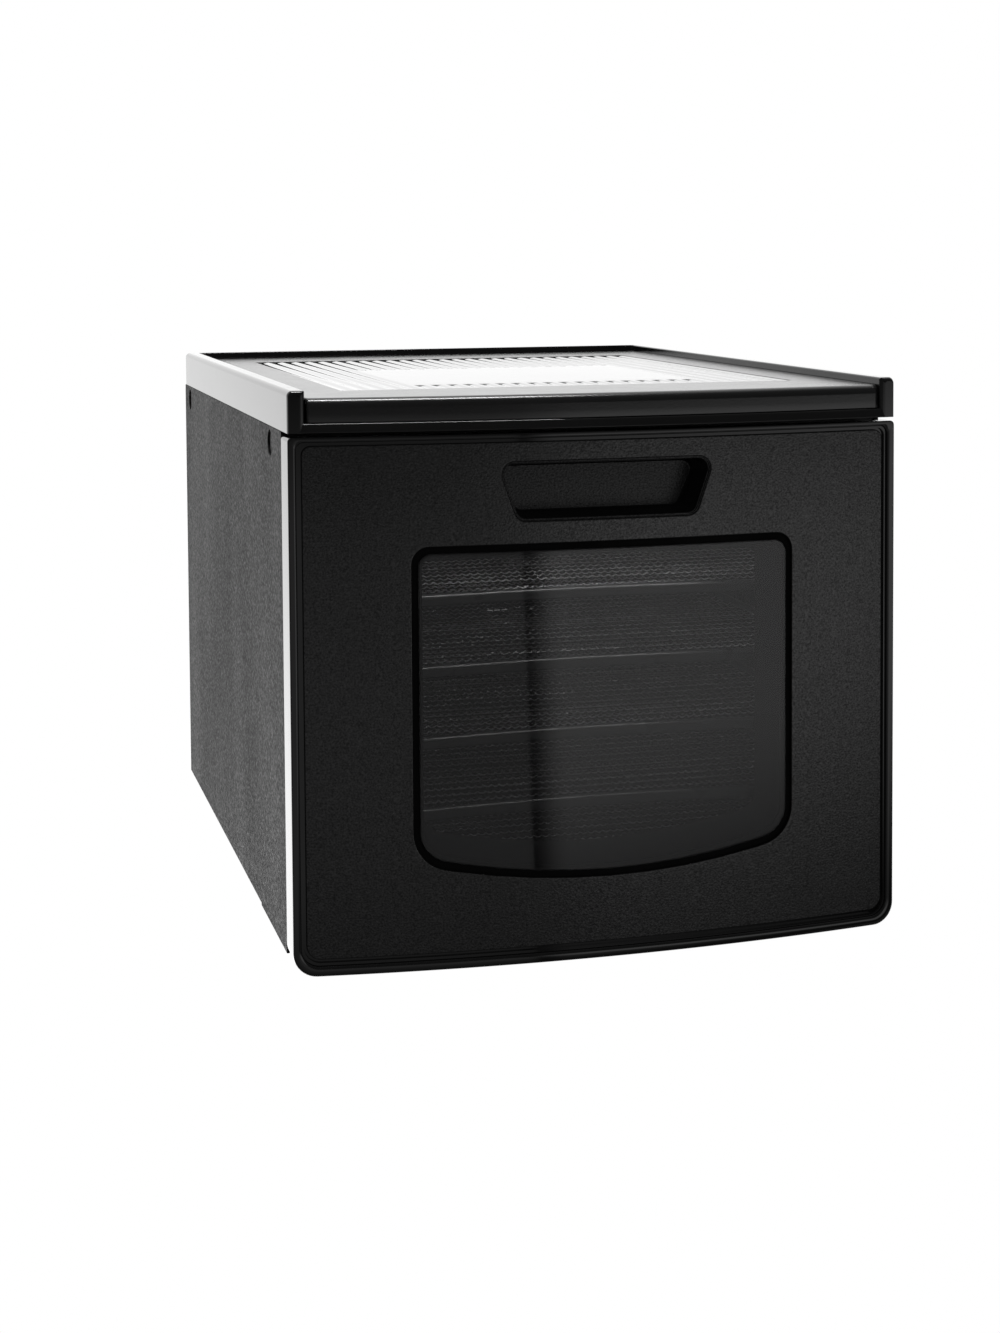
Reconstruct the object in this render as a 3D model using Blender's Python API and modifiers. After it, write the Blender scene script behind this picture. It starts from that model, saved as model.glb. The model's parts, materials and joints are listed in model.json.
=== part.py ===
"""Box food dehydrator with a bowed pull-off door, six sliding trays and a rear fan and heater.

Metres, +Z up.  The origin is on the table under the middle of the object, -Y is the door side.
Depths are given from the corner plane, the upright plane through the front corners of the case.
"""
import math

import bmesh
import bpy
from mathutils import Matrix, Vector

# ---------------------------------------------------------------- driving dimensions
WIDTH = 0.345            # outer width of the case, lid and door
DEPTH = 0.4518           # corner plane to the rear edges
BOW = 0.0133             # how far the middle of the front stands ahead of the corner plane
DOOR_BOTTOM = 0.004      # height of the door's lower edge above the table
DOOR_HEIGHT = 0.2875
LID_GAP = 0.002          # daylight between door and lid
LID_HEIGHT = 0.0183
RAIL_HEIGHT = 0.0042     # the rails around the top stand this far above it
RAIL_WIDTH = 0.0093
WALL = 0.003
GAP = 0.0003             # clearance between pieces that rest on each other
CASE_SETBACK = 0.0216    # corner plane to the case, which is one door thickness
CASE_BOTTOM = 0.0079     # above the door's lower edge
CASE_FRONT_BOTTOM = 0.0065
TRAY_COUNT = 6
TRAY_PITCH = 0.0398
FIRST_TRAY_TOP = 0.0425  # height of the lowest tray's rim above the table
TRAY_HALF_WIDTH = 0.155
TRAY_DEPTH = 0.318
TRAY_RIM = 0.009
TRAY_BAR = 0.006
TRAY_GRIP = 0.009        # how far the tray's front bar curves inwards
FAN_RADIUS = 0.072
FAN_HEIGHT = 0.152       # fan centre above the table

HALF = WIDTH / 2
CORNER_Y = (BOW - DEPTH) / 2
REAR_Y = CORNER_Y + DEPTH
DOOR_TOP = DOOR_BOTTOM + DOOR_HEIGHT
LID_BOTTOM = DOOR_TOP + LID_GAP
LID_TOP = LID_BOTTOM + LID_HEIGHT
RAIL_TOP = LID_TOP + RAIL_HEIGHT
CASE_Z = DOOR_BOTTOM + CASE_BOTTOM
CASE_FRONT = CORNER_Y + CASE_SETBACK
DOOR_BACK = CASE_FRONT - 0.0005
INNER_HALF = HALF - WALL - GAP
BEZEL_DEPTH = 0.008
BEZEL_BACK = CASE_FRONT + BEZEL_DEPTH
TRAY_FRONT = BEZEL_BACK + 0.0014
TRAY_BACK = TRAY_FRONT + TRAY_DEPTH
BAFFLE_Y = CORNER_Y + 0.356
REAR_PANEL_Y = CORNER_Y + 0.4362
REAR_PANEL_T = 0.0025
REAR_FACE = REAR_PANEL_Y + REAR_PANEL_T / 2
CUT_FRONT = CORNER_Y - 0.05    # cutters through the door start and end well clear of it
CUT_BACK = CASE_FRONT + 0.05
ARC_STEPS = 4
BOW_STEPS = 16

OBJECT = "food_dehydrator"

FACES_UP = Matrix.Identity(4)                                  # outline (x, y)
FACES_FRONT = Matrix.Rotation(math.radians(90), 4, "X")        # outline (x, z)
FACES_SIDE = Matrix(((0, 0, 1, 0), (1, 0, 0, 0), (0, 1, 0, 0), (0, 0, 0, 1)))   # outline (y, z)


# ---------------------------------------------------------------- scene and materials
def clear_scene():
    for obj in list(bpy.data.objects):
        bpy.data.objects.remove(obj, do_unlink=True)


def new_collection(name):
    collection = bpy.data.collections.new(name)
    bpy.context.scene.collection.children.link(collection)
    return collection


def make_material(name, colour, roughness, metallic=0.0, alpha=1.0):
    material = bpy.data.materials.new(name)
    material.use_nodes = True
    shader = material.node_tree.nodes["Principled BSDF"]
    shader.inputs["Base Color"].default_value = (*colour, 1.0)
    shader.inputs["Roughness"].default_value = roughness
    shader.inputs["Metallic"].default_value = metallic
    shader.inputs["Alpha"].default_value = alpha
    return material


clear_scene()
PARTS = new_collection(OBJECT)
CUTTERS = new_collection("cutters")
GLOSS = make_material("gloss_black", (0.012, 0.012, 0.013), 0.12)
SATIN = make_material("satin_black", (0.016, 0.016, 0.017), 0.38)
GRAIN = make_material("grained_black", (0.022, 0.022, 0.023), 0.55)
SMOKE = make_material("smoked_clear", (0.03, 0.03, 0.032), 0.05, alpha=0.35)
RUBBER = make_material("black_rubber", (0.02, 0.02, 0.02), 0.8)
STEEL = make_material("plated_steel", (0.6, 0.6, 0.61), 0.35, metallic=1.0)
TRAY_PLASTIC = make_material("tray_black", (0.02, 0.02, 0.021), 0.45)
MESH_PLASTIC = make_material("mesh_dark", (0.05, 0.05, 0.052), 0.55)
MOTOR_METAL = make_material("motor_steel", (0.35, 0.35, 0.36), 0.45, metallic=1.0)
COIL_METAL = make_material("heater_wire", (0.45, 0.38, 0.33), 0.5, metallic=1.0)
CERAMIC = make_material("white_ceramic", (0.75, 0.73, 0.7), 0.6)
LEAD = make_material("lead_grey", (0.3, 0.3, 0.31), 0.6)


# ---------------------------------------------------------------- modelling helpers
def add_object(name, mesh, material=None, collection=PARTS):
    obj = bpy.data.objects.new(name, mesh)
    collection.objects.link(obj)
    if material:
        mesh.materials.append(material)
    if collection is CUTTERS:
        obj.hide_render = True
        obj.display_type = "WIRE"
    return obj


def mesh_from(name, build):
    mesh = bpy.data.meshes.new(name)
    shape = bmesh.new()
    build(shape)
    bmesh.ops.recalc_face_normals(shape, faces=shape.faces)
    shape.to_mesh(mesh)
    shape.free()
    return mesh


def box(name, low, high, material=None, collection=PARTS):
    size = [b - a for a, b in zip(low, high)]
    scale = Matrix.Diagonal((*size, 1.0))
    mesh = mesh_from(name, lambda shape: bmesh.ops.create_cube(shape, size=1.0, matrix=scale))
    obj = add_object(name, mesh, material, collection)
    obj.location = [(a + b) / 2 for a, b in zip(low, high)]
    return obj


def cylinder(name, centre, radius, length, axis, sides=20, material=None, collection=PARTS):
    turn = Vector((0, 0, 1)).rotation_difference(Vector(axis)).to_matrix().to_4x4()

    def build(shape):
        bmesh.ops.create_cone(shape, cap_ends=True, segments=sides, radius1=radius,
                              radius2=radius, depth=length, matrix=turn)

    obj = add_object(name, mesh_from(name, build), material, collection)
    obj.location = centre
    smooth(obj)
    return obj


def turned(name, profile, centre, axis, material, steps=24):
    """A closed turned piece: profile is (radius, height) from the top down, both ends at radius 0."""
    mesh = bpy.data.meshes.new(name)
    points = [(radius, 0, height) for radius, height in profile]
    mesh.from_pydata(points, [(i, i + 1) for i in range(len(points) - 1)], [])
    obj = add_object(name, mesh, material)
    obj.location = centre
    obj.rotation_mode = "QUATERNION"
    obj.rotation_quaternion = Vector((0, 0, 1)).rotation_difference(Vector(axis))
    screw = obj.modifiers.new("turn", "SCREW")
    screw.steps = screw.render_steps = steps
    screw.use_merge_vertices = True
    screw.merge_threshold = 0.00001
    screw.use_smooth_shade = True
    return obj


def plate(name, loops, low, high, facing, material=None, collection=PARTS):
    """A flat outline with holes, given thickness between low and high along its normal."""
    curve = bpy.data.curves.new(name, "CURVE")
    curve.dimensions = "2D"
    curve.fill_mode = "BOTH"
    curve.extrude = (high - low) / 2
    for loop in loops:
        spline = curve.splines.new("POLY")
        spline.points.add(len(loop) - 1)
        for point, (a, b) in zip(spline.points, loop):
            point.co = (a, b, 0, 1)
        spline.use_cyclic_u = True
    outline = bpy.data.objects.new(name + "_outline", curve)
    CUTTERS.objects.link(outline)
    evaluated = outline.evaluated_get(bpy.context.evaluated_depsgraph_get())
    mesh = bpy.data.meshes.new_from_object(evaluated)
    shape = bmesh.new()
    shape.from_mesh(mesh)
    bmesh.ops.remove_doubles(shape, verts=shape.verts, dist=0.00001)
    bmesh.ops.recalc_face_normals(shape, faces=shape.faces)
    shape.to_mesh(mesh)
    shape.free()
    bpy.data.objects.remove(outline, do_unlink=True)
    mesh.name = name
    obj = add_object(name, mesh, material, collection)
    normal = facing @ Vector((0, 0, 1))
    middle = (low + high) / 2
    obj.matrix_world = Matrix.Translation(Vector([abs(n) * middle for n in normal])) @ facing
    return obj


def tube(name, points, radius, material, resolution=2):
    curve = bpy.data.curves.new(name, "CURVE")
    curve.dimensions = "3D"
    curve.bevel_depth = radius
    curve.bevel_resolution = resolution
    curve.use_fill_caps = True
    spline = curve.splines.new("POLY")
    spline.points.add(len(points) - 1)
    for point, place in zip(spline.points, points):
        point.co = (*place, 1)
    curve.materials.append(material)
    obj = bpy.data.objects.new(name, curve)
    PARTS.objects.link(obj)
    return obj


def combine(obj, other, operation):
    step = obj.modifiers.new(operation.lower(), "BOOLEAN")
    step.operation = operation
    step.solver = "EXACT"
    step.object = other
    return obj


def cut(obj, *cutters):
    for cutter in cutters:
        combine(obj, cutter, "DIFFERENCE")
    return obj


def join(obj, *others):
    for other in others:
        combine(obj, other, "UNION")
    return obj


def trim(obj, outline):
    return combine(obj, outline, "INTERSECT")


def bevel(obj, width, segments=2, angle=50):
    step = obj.modifiers.new("rounded", "BEVEL")
    step.width = width
    step.segments = segments
    step.limit_method = "ANGLE"
    step.angle_limit = math.radians(angle)
    return obj


def smooth(obj, angle=40):
    obj.data.shade_smooth()
    obj.data.set_sharp_from_angle(angle=math.radians(angle))


def move_with(empty, *objects):
    for obj in objects:
        obj.parent = empty
        obj.matrix_parent_inverse = empty.matrix_world.inverted()


def joint_empty(name, place):
    empty = bpy.data.objects.new(name, None)
    PARTS.objects.link(empty)
    empty.matrix_world = Matrix.Translation(Vector(place))
    return empty


# ---------------------------------------------------------------- outlines
def circle(centre, radius, sides=20):
    turns = [2 * math.pi * i / sides for i in range(sides)]
    return [(centre[0] + radius * math.cos(t), centre[1] + radius * math.sin(t)) for t in turns]


def rectangle(low, high):
    return [(low[0], low[1]), (high[0], low[1]), (high[0], high[1]), (low[0], high[1])]


def rounded(corners, radii, steps=ARC_STEPS):
    """A polygon with each corner rounded by its own radius; a radius of 0 keeps the corner."""
    outline = []
    for i, corner in enumerate(corners):
        here = Vector(corner)
        to_last = (Vector(corners[i - 1]) - here).normalized()
        to_next = (Vector(corners[(i + 1) % len(corners)]) - here).normalized()
        if radii[i] == 0:
            outline.append(tuple(here))
            continue
        half_angle = to_last.angle(to_next) / 2
        centre = here + (to_last + to_next).normalized() * radii[i] / math.sin(half_angle)
        reach = radii[i] / math.tan(half_angle)
        start = here + to_last * reach - centre
        end = here + to_next * reach - centre
        turn = start.angle_signed(end)
        for step in range(steps + 1):
            angle = -turn * step / steps
            arm = Matrix.Rotation(angle, 2) @ start
            outline.append(tuple(centre + arm))
    return outline


def rounded_box(low, high, radius, steps=ARC_STEPS):
    return rounded(rectangle(low, high), [radius] * 4, steps)


def front_y(x, setback=0.0):
    return CORNER_Y - BOW * (1 - (x / HALF) ** 2) + setback


def bow_points(half_width, setback):
    steps = [-half_width + 2 * half_width * i / BOW_STEPS for i in range(BOW_STEPS + 1)]
    return [(x, front_y(x, setback)) for x in steps]


def bowed_block(name, half_width, low, high, setback, back_y, material=None, collection=PARTS):
    """A block between two heights with the bowed front and a flat back."""
    outline = bow_points(half_width, setback) + [(half_width, back_y), (-half_width, back_y)]
    return plate(name, [outline], low, high, FACES_UP, material, collection)


def bowed_skin(name, half_width, low, high, setback, thickness, material=None):
    back = bow_points(half_width, setback + thickness)
    outline = bow_points(half_width, setback) + back[::-1]
    return plate(name, [outline], low, high, FACES_UP, material)


def window_outline(inset):
    """The window: straight top and sides, and a bottom edge that sags in the middle."""
    half_width = 0.108 - inset
    top = DOOR_BOTTOM + 0.2277 - inset
    middle = DOOR_BOTTOM + 0.0445 + inset
    rise = 0.0128
    sag = [(half_width * f, middle + rise * f * f) for f in (1, 0.7, 0.35, 0, -0.35, -0.7, -1)]
    corners = [(-half_width, top), (half_width, top)] + sag
    radii = [0.0095 - inset * 0.6] * 2 + [0.021 - inset] + [0] * 5 + [0.021 - inset]
    return rounded(corners, radii)


def handle_outline(inset):
    """The finger recess: a trapezoid, wider at the top."""
    top = DOOR_BOTTOM + 0.2722 - inset
    low = DOOR_BOTTOM + 0.2398 + inset
    wide = 0.062 - inset
    narrow = 0.0506 - inset
    corners = [(-wide, top), (wide, top), (narrow, low), (-narrow, low)]
    return rounded(corners, [0.007 - inset] * 4)


def loft(name, front, back, y_front, y_back):
    """A cutter between two outlines of the same count, facing the front."""
    def build(shape):
        rings = [[shape.verts.new((x, y, z)) for x, z in ring]
                 for ring, y in ((front, y_front), (back, y_back))]
        count = len(front)
        for i in range(count):
            j = (i + 1) % count
            shape.faces.new((rings[0][i], rings[0][j], rings[1][j], rings[1][i]))
        shape.faces.new(rings[0])
        shape.faces.new(rings[1][::-1])

    return add_object(name, mesh_from(name, build), collection=CUTTERS)


def front_cutter(name, outline, low_y, high_y):
    return plate(name, [outline], low_y, high_y, FACES_FRONT, collection=CUTTERS)


# ---------------------------------------------------------------- case
SIDE_TOP = LID_BOTTOM - GAP
PLUG_RADIUS = 0.00725
PLUG_RECESS = 0.0012
PLUG_HEIGHT = DOOR_BOTTOM + 0.280
PLUG_PLACES = {"front": CORNER_Y + 0.0604, "rear": CORNER_Y + 0.4240}
SIDES = {"left": -1, "right": 1}


def make_side_panels():
    step_y = CORNER_Y + 0.112
    front_z = DOOR_BOTTOM + CASE_FRONT_BOTTOM
    outline = [(CASE_FRONT, front_z), (step_y, front_z), (step_y + 0.001, CASE_Z),
               (REAR_Y, CASE_Z), (REAR_Y, SIDE_TOP), (CASE_FRONT, SIDE_TOP)]
    holes = [circle((y, PLUG_HEIGHT), PLUG_RADIUS, 24) for y in PLUG_PLACES.values()]
    for side, sign in SIDES.items():
        middle = sign * (HALF - WALL / 2)
        panel = plate("side_panel_" + side, [outline] + holes, -WALL / 2, WALL / 2,
                      FACES_SIDE, GRAIN)
        panel.location.x = middle
        for place, y in PLUG_PLACES.items():
            make_side_plug("side_plug_%s_%s" % (side, place), sign, y)


def make_side_plug(name, sign, y):
    cap = PLUG_RADIUS - GAP
    flange = PLUG_RADIUS + 0.0018
    inner = WALL + GAP
    back = inner + 0.0012
    profile = [(0, -PLUG_RECESS), (cap - 0.0004, -PLUG_RECESS), (cap, -PLUG_RECESS - 0.0004),
               (cap, -inner), (flange, -inner), (flange, -back), (0, -back)]
    turned(name, profile, (sign * HALF, y, PLUG_HEIGHT), (sign, 0, 0), GRAIN)


def make_top_cover():
    cover = bowed_block("top_cover", HALF, LID_BOTTOM, LID_TOP, 0, REAR_Y, GLOSS)
    rails = bowed_block("top_rails", HALF, LID_TOP - 0.001, RAIL_TOP, 0, REAR_Y,
                        collection=CUTTERS)
    inner = HALF - RAIL_WIDTH
    between = box("between_rails", (-inner, CORNER_Y - 0.05, LID_TOP - 0.002),
                  (inner, REAR_Y - RAIL_WIDTH, RAIL_TOP + 0.01), collection=CUTTERS)
    cut(rails, between)
    bevel(rails, 0.0022, 2, 60)
    hollow = bowed_block("lid_hollow", HALF - WALL, LID_BOTTOM - 0.01, LID_TOP - WALL, WALL,
                         REAR_Y - WALL, collection=CUTTERS)
    join(cover, rails)
    cut(cover, hollow)


def make_base_pan():
    box("base_pan", (-INNER_HALF, BEZEL_BACK + GAP, CASE_Z), (INNER_HALF, REAR_Y, CASE_Z + 0.0025),
        SATIN)


def make_feet():
    height = CASE_Z - GAP
    profile = [(0, height), (0.011, height), (0.011, 0.002), (0.0095, 0), (0, 0)]
    for side, sign in SIDES.items():
        for place, y in (("front", CORNER_Y + 0.070), ("rear", CORNER_Y + 0.405)):
            turned("foot_%s_%s" % (place, side), profile, (sign * 0.140, y, 0), (0, 0, 1), RUBBER)


STRIKE_HEIGHT = DOOR_BOTTOM + 0.2755
STRIKE_X = 0.120
PEG_HEIGHT = DOOR_BOTTOM + 0.0150
PEG_RADIUS = 0.0034


def make_front_bezel():
    low = (-INNER_HALF, DOOR_BOTTOM + CASE_FRONT_BOTTOM)
    high = (INNER_HALF, SIDE_TOP)
    mouth = rounded_box((-0.1585, DOOR_BOTTOM + 0.0225), (0.1585, DOOR_BOTTOM + 0.2645), 0.006)
    pegs = [circle((sign * STRIKE_X, PEG_HEIGHT), PEG_RADIUS + 0.0006, 16) for sign in (-1, 1)]
    bezel = plate("front_bezel", [rectangle(low, high), mouth] + pegs, CASE_FRONT, BEZEL_BACK,
                  FACES_FRONT, SATIN)
    for side, sign in SIDES.items():
        x = sign * STRIKE_X
        pocket = box("strike_pocket_" + side, (x - 0.0153, CASE_FRONT - 0.002, STRIKE_HEIGHT - 0.0053),
                     (x + 0.0153, CASE_FRONT + 0.0015, STRIKE_HEIGHT + 0.0053), collection=CUTTERS)
        cut(bezel, pocket)
        box("strike_plate_" + side, (x - 0.015, CASE_FRONT, STRIKE_HEIGHT - 0.005),
            (x + 0.015, CASE_FRONT + 0.0012, STRIKE_HEIGHT + 0.005), STEEL)


def tray_top(index):
    return FIRST_TRAY_TOP + TRAY_PITCH * index


def make_tray_guides():
    inner_face = INNER_HALF - 0.0025
    ledge_reach = 0.149
    ledge = 0.0025
    low = DOOR_BOTTOM + 0.020
    high = tray_top(TRAY_COUNT - 1) + 0.016
    for side, sign in SIDES.items():
        outline = [(INNER_HALF, low), (INNER_HALF, high), (inner_face, high)]
        for index in reversed(range(TRAY_COUNT)):
            top = tray_top(index) - TRAY_RIM - GAP
            outline += [(inner_face, top), (ledge_reach, top), (ledge_reach, top - ledge),
                        (inner_face, top - ledge)]
        outline.append((inner_face, low))
        outline = [(sign * x, z) for x, z in outline]
        plate("tray_guide_" + side, [outline], TRAY_FRONT, TRAY_BACK, FACES_FRONT, SATIN)


def make_rear_baffle():
    slots = []
    for row in range(TRAY_COUNT):
        for x in (-0.098, 0, 0.098):
            z = tray_top(row) + 0.010
            slots.append(rounded_box((x - 0.042, z - 0.006), (x + 0.042, z + 0.006), 0.004, 1))
    outline = rectangle((-INNER_HALF, CASE_Z + 0.0028), (INNER_HALF, SIDE_TOP))
    plate("rear_baffle", [outline] + slots, BAFFLE_Y - 0.001, BAFFLE_Y + 0.001, FACES_FRONT, STEEL)


KNOB_PLACE = (0.105, DOOR_BOTTOM + 0.242)
SWITCH_PLACE = (0.052, DOOR_BOTTOM + 0.242)
INLET_PLACE = (0.120, DOOR_BOTTOM + 0.042)
SHAFT_RADIUS = 0.003
SCREW_REACH = 0.066


def screw_places():
    return [(sx * SCREW_REACH, FAN_HEIGHT + sz * SCREW_REACH) for sx in (-1, 1) for sz in (-1, 1)]


def grille_slots():
    """Two columns of air slots that fill a circle behind the fan."""
    slots = []
    for row in range(-5, 6):
        z = row * 0.0145
        reach = math.sqrt(0.088 ** 2 - z ** 2)
        for sign in (-1, 1):
            low, high = sorted((sign * 0.006, sign * reach))
            clear = [p for p in screw_places() if abs(p[1] - FAN_HEIGHT - z) < 0.006]
            if clear:
                low, high = sorted((sign * 0.006, sign * 0.058))
            slots.append(rounded_box((low, FAN_HEIGHT + z - 0.0026),
                                     (high, FAN_HEIGHT + z + 0.0026), 0.0015, 1))
    return slots


def make_rear_panel():
    outline = rectangle((-INNER_HALF, CASE_Z + 0.0028), (INNER_HALF, SIDE_TOP))
    kx, kz = KNOB_PLACE
    sx, sz = SWITCH_PLACE
    px, pz = INLET_PLACE
    holes = grille_slots() + [circle(place, 0.0023, 12) for place in screw_places()]
    holes.append(circle((kx, kz), SHAFT_RADIUS + 0.0006, 16))
    holes.append(rectangle((sx - 0.0065, sz - 0.0098), (sx + 0.0065, sz + 0.0098)))
    holes.append(rectangle((px - 0.0138, pz - 0.0103), (px + 0.0138, pz + 0.0103)))
    plate("rear_panel", [outline] + holes, REAR_PANEL_Y - REAR_PANEL_T / 2, REAR_FACE,
          FACES_FRONT, SATIN)


# ---------------------------------------------------------------- fan, heater and controls
MOTOR_FRONT = CORNER_Y + 0.397
BRACKET_Y = CORNER_Y + 0.4302
FAN_Y = CORNER_Y + 0.384


def make_fan():
    shaft_radius = 0.0025
    hub = cylinder("impeller", (0, FAN_Y, FAN_HEIGHT), 0.018, 0.014, (0, 1, 0), 24, SATIN)
    for blade in range(5):
        around = Matrix.Rotation(2 * math.pi * blade / 5, 4, "Y")
        join(hub, impeller_blade("blade_%d" % blade, around))
    bore = cylinder("hub_bore", (0, FAN_Y + 0.004, FAN_HEIGHT), shaft_radius + GAP, 0.012,
                    (0, 1, 0), 12, collection=CUTTERS)
    cut(hub, bore)
    front = FAN_Y - 0.0015
    back = MOTOR_FRONT + 0.010
    shaft = cylinder("fan_shaft", (0, (front + back) / 2, FAN_HEIGHT), shaft_radius, back - front,
                     (0, 1, 0), 12, STEEL)
    move_with(joint_empty("fan_joint", (0, FAN_Y, FAN_HEIGHT)), hub, shaft)


def impeller_blade(name, around):
    """One blade: a thin slab whose pitch falls from hub to tip."""
    root, tip, half_chord, half_thick = 0.014, FAN_RADIUS, 0.021, 0.0009
    sections = 5

    def build(shape):
        rings = []
        for i in range(sections):
            along = i / (sections - 1)
            radius = root + (tip - root) * along
            chord = half_chord * (0.45 + 0.55 * along)
            pitch = Matrix.Rotation(math.radians(38 - 20 * along), 3, "Z")
            ring = []
            for a, b in ((-1, -1), (1, -1), (1, 1), (-1, 1)):
                spot = pitch @ Vector((a * chord * 0.8, b * half_thick, 0))
                ring.append(shape.verts.new((spot.x, spot.y, radius)))
            rings.append(ring)
        for low, high in zip(rings, rings[1:]):
            for i in range(4):
                j = (i + 1) % 4
                shape.faces.new((low[i], low[j], high[j], high[i]))
        shape.faces.new(rings[0])
        shape.faces.new(rings[-1][::-1])

    obj = add_object(name, mesh_from(name, build), collection=CUTTERS)
    obj.matrix_world = Matrix.Translation(Vector((0, FAN_Y, FAN_HEIGHT))) @ around
    return obj


def make_motor():
    centre = (0, MOTOR_FRONT + 0.0155, FAN_HEIGHT)
    motor = cylinder("fan_motor", centre, 0.029, 0.031, (0, 1, 0), 28, MOTOR_METAL)
    bore = cylinder("motor_bore", (0, MOTOR_FRONT + 0.005, FAN_HEIGHT), 0.0028, 0.012, (0, 1, 0),
                    12, collection=CUTTERS)
    cut(motor, bore)
    arm = SCREW_REACH + 0.006
    wide = 0.007
    strip = [(-arm + wide, -arm - wide), (arm + wide, arm - wide), (arm - wide, arm + wide),
             (-arm - wide, -arm + wide)]
    crossing = [(-x, z) for x, z in strip]
    bracket_low, bracket_high = BRACKET_Y - 0.001, BRACKET_Y + 0.001
    bracket = plate("motor_bracket", [strip], bracket_low, bracket_high, FACES_FRONT, STEEL)
    other = plate("bracket_crossing", [crossing], bracket_low, bracket_high, FACES_FRONT,
                  collection=CUTTERS)
    for piece in (bracket, other):
        piece.location.z = FAN_HEIGHT
    join(bracket, other)
    for index, (x, z) in enumerate(screw_places()):
        hole = cylinder("bracket_hole_%d" % index, (x, BRACKET_Y, z), 0.0021, 0.01, (0, 1, 0), 12,
                        collection=CUTTERS)
        cut(bracket, hole)
        make_rear_screw("rear_screw_%d" % (index + 1), x, z)


def make_rear_screw(name, x, z):
    head, shank = 0.0038, 0.0018
    reach = REAR_FACE + GAP - BRACKET_Y + 0.002
    profile = [(0, 0.0016), (0.0022, 0.0015), (head, 0.0005), (head, 0), (shank, 0),
               (shank, -reach), (0, -reach)]
    turned(name, profile, (x, REAR_FACE + GAP, z), (0, 1, 0), STEEL, 16)


def make_heater():
    frame_y = CORNER_Y + 0.3640
    outer = rounded_box((-0.090, FAN_HEIGHT - 0.090), (0.090, FAN_HEIGHT + 0.090), 0.010)
    plate("heater_frame", [outer, circle((0, FAN_HEIGHT), 0.076, 32)], frame_y - 0.001,
          frame_y + 0.001, FACES_FRONT, STEEL)
    wire = 0.0014
    y = frame_y + 0.001 + wire + GAP
    runs = 8
    points = []
    for run in range(runs):
        z = FAN_HEIGHT + (run - (runs - 1) / 2) * 0.018
        reach = math.sqrt(0.084 ** 2 - (z - FAN_HEIGHT) ** 2)
        sign = 1 if run % 2 else -1
        points += [(sign * reach, y, z), (-sign * reach, y, z)]
    tube("heater_coil", points, wire, COIL_METAL, 1)
    cylinder("thermal_fuse", (0.085, frame_y + 0.0045, FAN_HEIGHT + 0.078), 0.003, 0.012,
             (1, 0, 0), 12, CERAMIC)


def make_thermostat():
    x, z = KNOB_PLACE
    body_back = REAR_FACE - REAR_PANEL_T - GAP
    body = box("thermostat_body", (x - 0.014, body_back - 0.020, z - 0.012),
               (x + 0.014, body_back, z + 0.012), CERAMIC)
    cut(body, cylinder("thermostat_bore", (x, body_back, z), SHAFT_RADIUS + 0.0004, 0.016,
                       (0, 1, 0), 16, collection=CUTTERS))
    low, high = body_back - 0.0065, REAR_FACE + 0.007
    shaft = cylinder("thermostat_shaft", (x, (low + high) / 2, z), SHAFT_RADIUS, high - low,
                     (0, 1, 0), 16, STEEL)
    knob_base = REAR_FACE + 0.0006
    profile = [(0, 0.0125), (0.0135, 0.0125), (0.0150, 0.0112), (0.0160, 0.002), (0.0185, 0.0012),
               (0.0185, 0), (0, 0)]
    knob = turned("thermostat_knob", profile, (x, knob_base, z), (0, 1, 0), SATIN, 32)
    ridge = box("knob_ridge", (x - 0.0022, knob_base + 0.010, z - 0.0135),
                (x + 0.0022, knob_base + 0.0134, z + 0.0135), collection=CUTTERS)
    socket = cylinder("knob_socket", (x, knob_base + 0.003, z), SHAFT_RADIUS + GAP, 0.0080,
                      (0, 1, 0), 16, collection=CUTTERS)
    join(knob, ridge)
    cut(knob, socket)
    move_with(joint_empty("knob_joint", (x, knob_base, z)), knob, shaft)


ROCKER_RADIUS = 0.0078
ROCKER_TILT = 8          # degrees, the off position; on is the same tilt the other way


def make_switch():
    x, z = SWITCH_PLACE
    flange = REAR_FACE + GAP
    housing = box("switch_housing", (x - 0.0062, flange - 0.019, z - 0.0095),
                  (x + 0.0062, flange + 0.001, z + 0.0095), SATIN)
    rim = box("switch_rim", (x - 0.0078, flange, z - 0.0112), (x + 0.0078, flange + 0.0016, z + 0.0112),
              collection=CUTTERS)
    well = box("switch_well", (x - 0.0048, flange - 0.0100, z - 0.0083),
               (x + 0.0048, flange + 0.004, z + 0.0083), collection=CUTTERS)
    join(housing, rim)
    cut(housing, well)
    pivot_y = flange - 0.0008
    arc = [math.radians(10 + 160 * i / 12) for i in range(13)]
    outline = [(-ROCKER_RADIUS * math.sin(a), ROCKER_RADIUS * math.cos(a)) for a in arc]
    outline += [(0.0032, -ROCKER_RADIUS * 0.97), (0.0012, 0), (0.0032, ROCKER_RADIUS * 0.97)]
    tilt = Matrix.Rotation(math.radians(ROCKER_TILT), 2)
    outline = [tuple(tilt @ Vector(point)) for point in outline]
    rocker = plate("switch_rocker", [outline], -0.0044, 0.0044, FACES_SIDE, GLOSS)
    rocker.location = (x, pivot_y, z)
    move_with(joint_empty("switch_joint", (x, pivot_y, z)), rocker)


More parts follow.
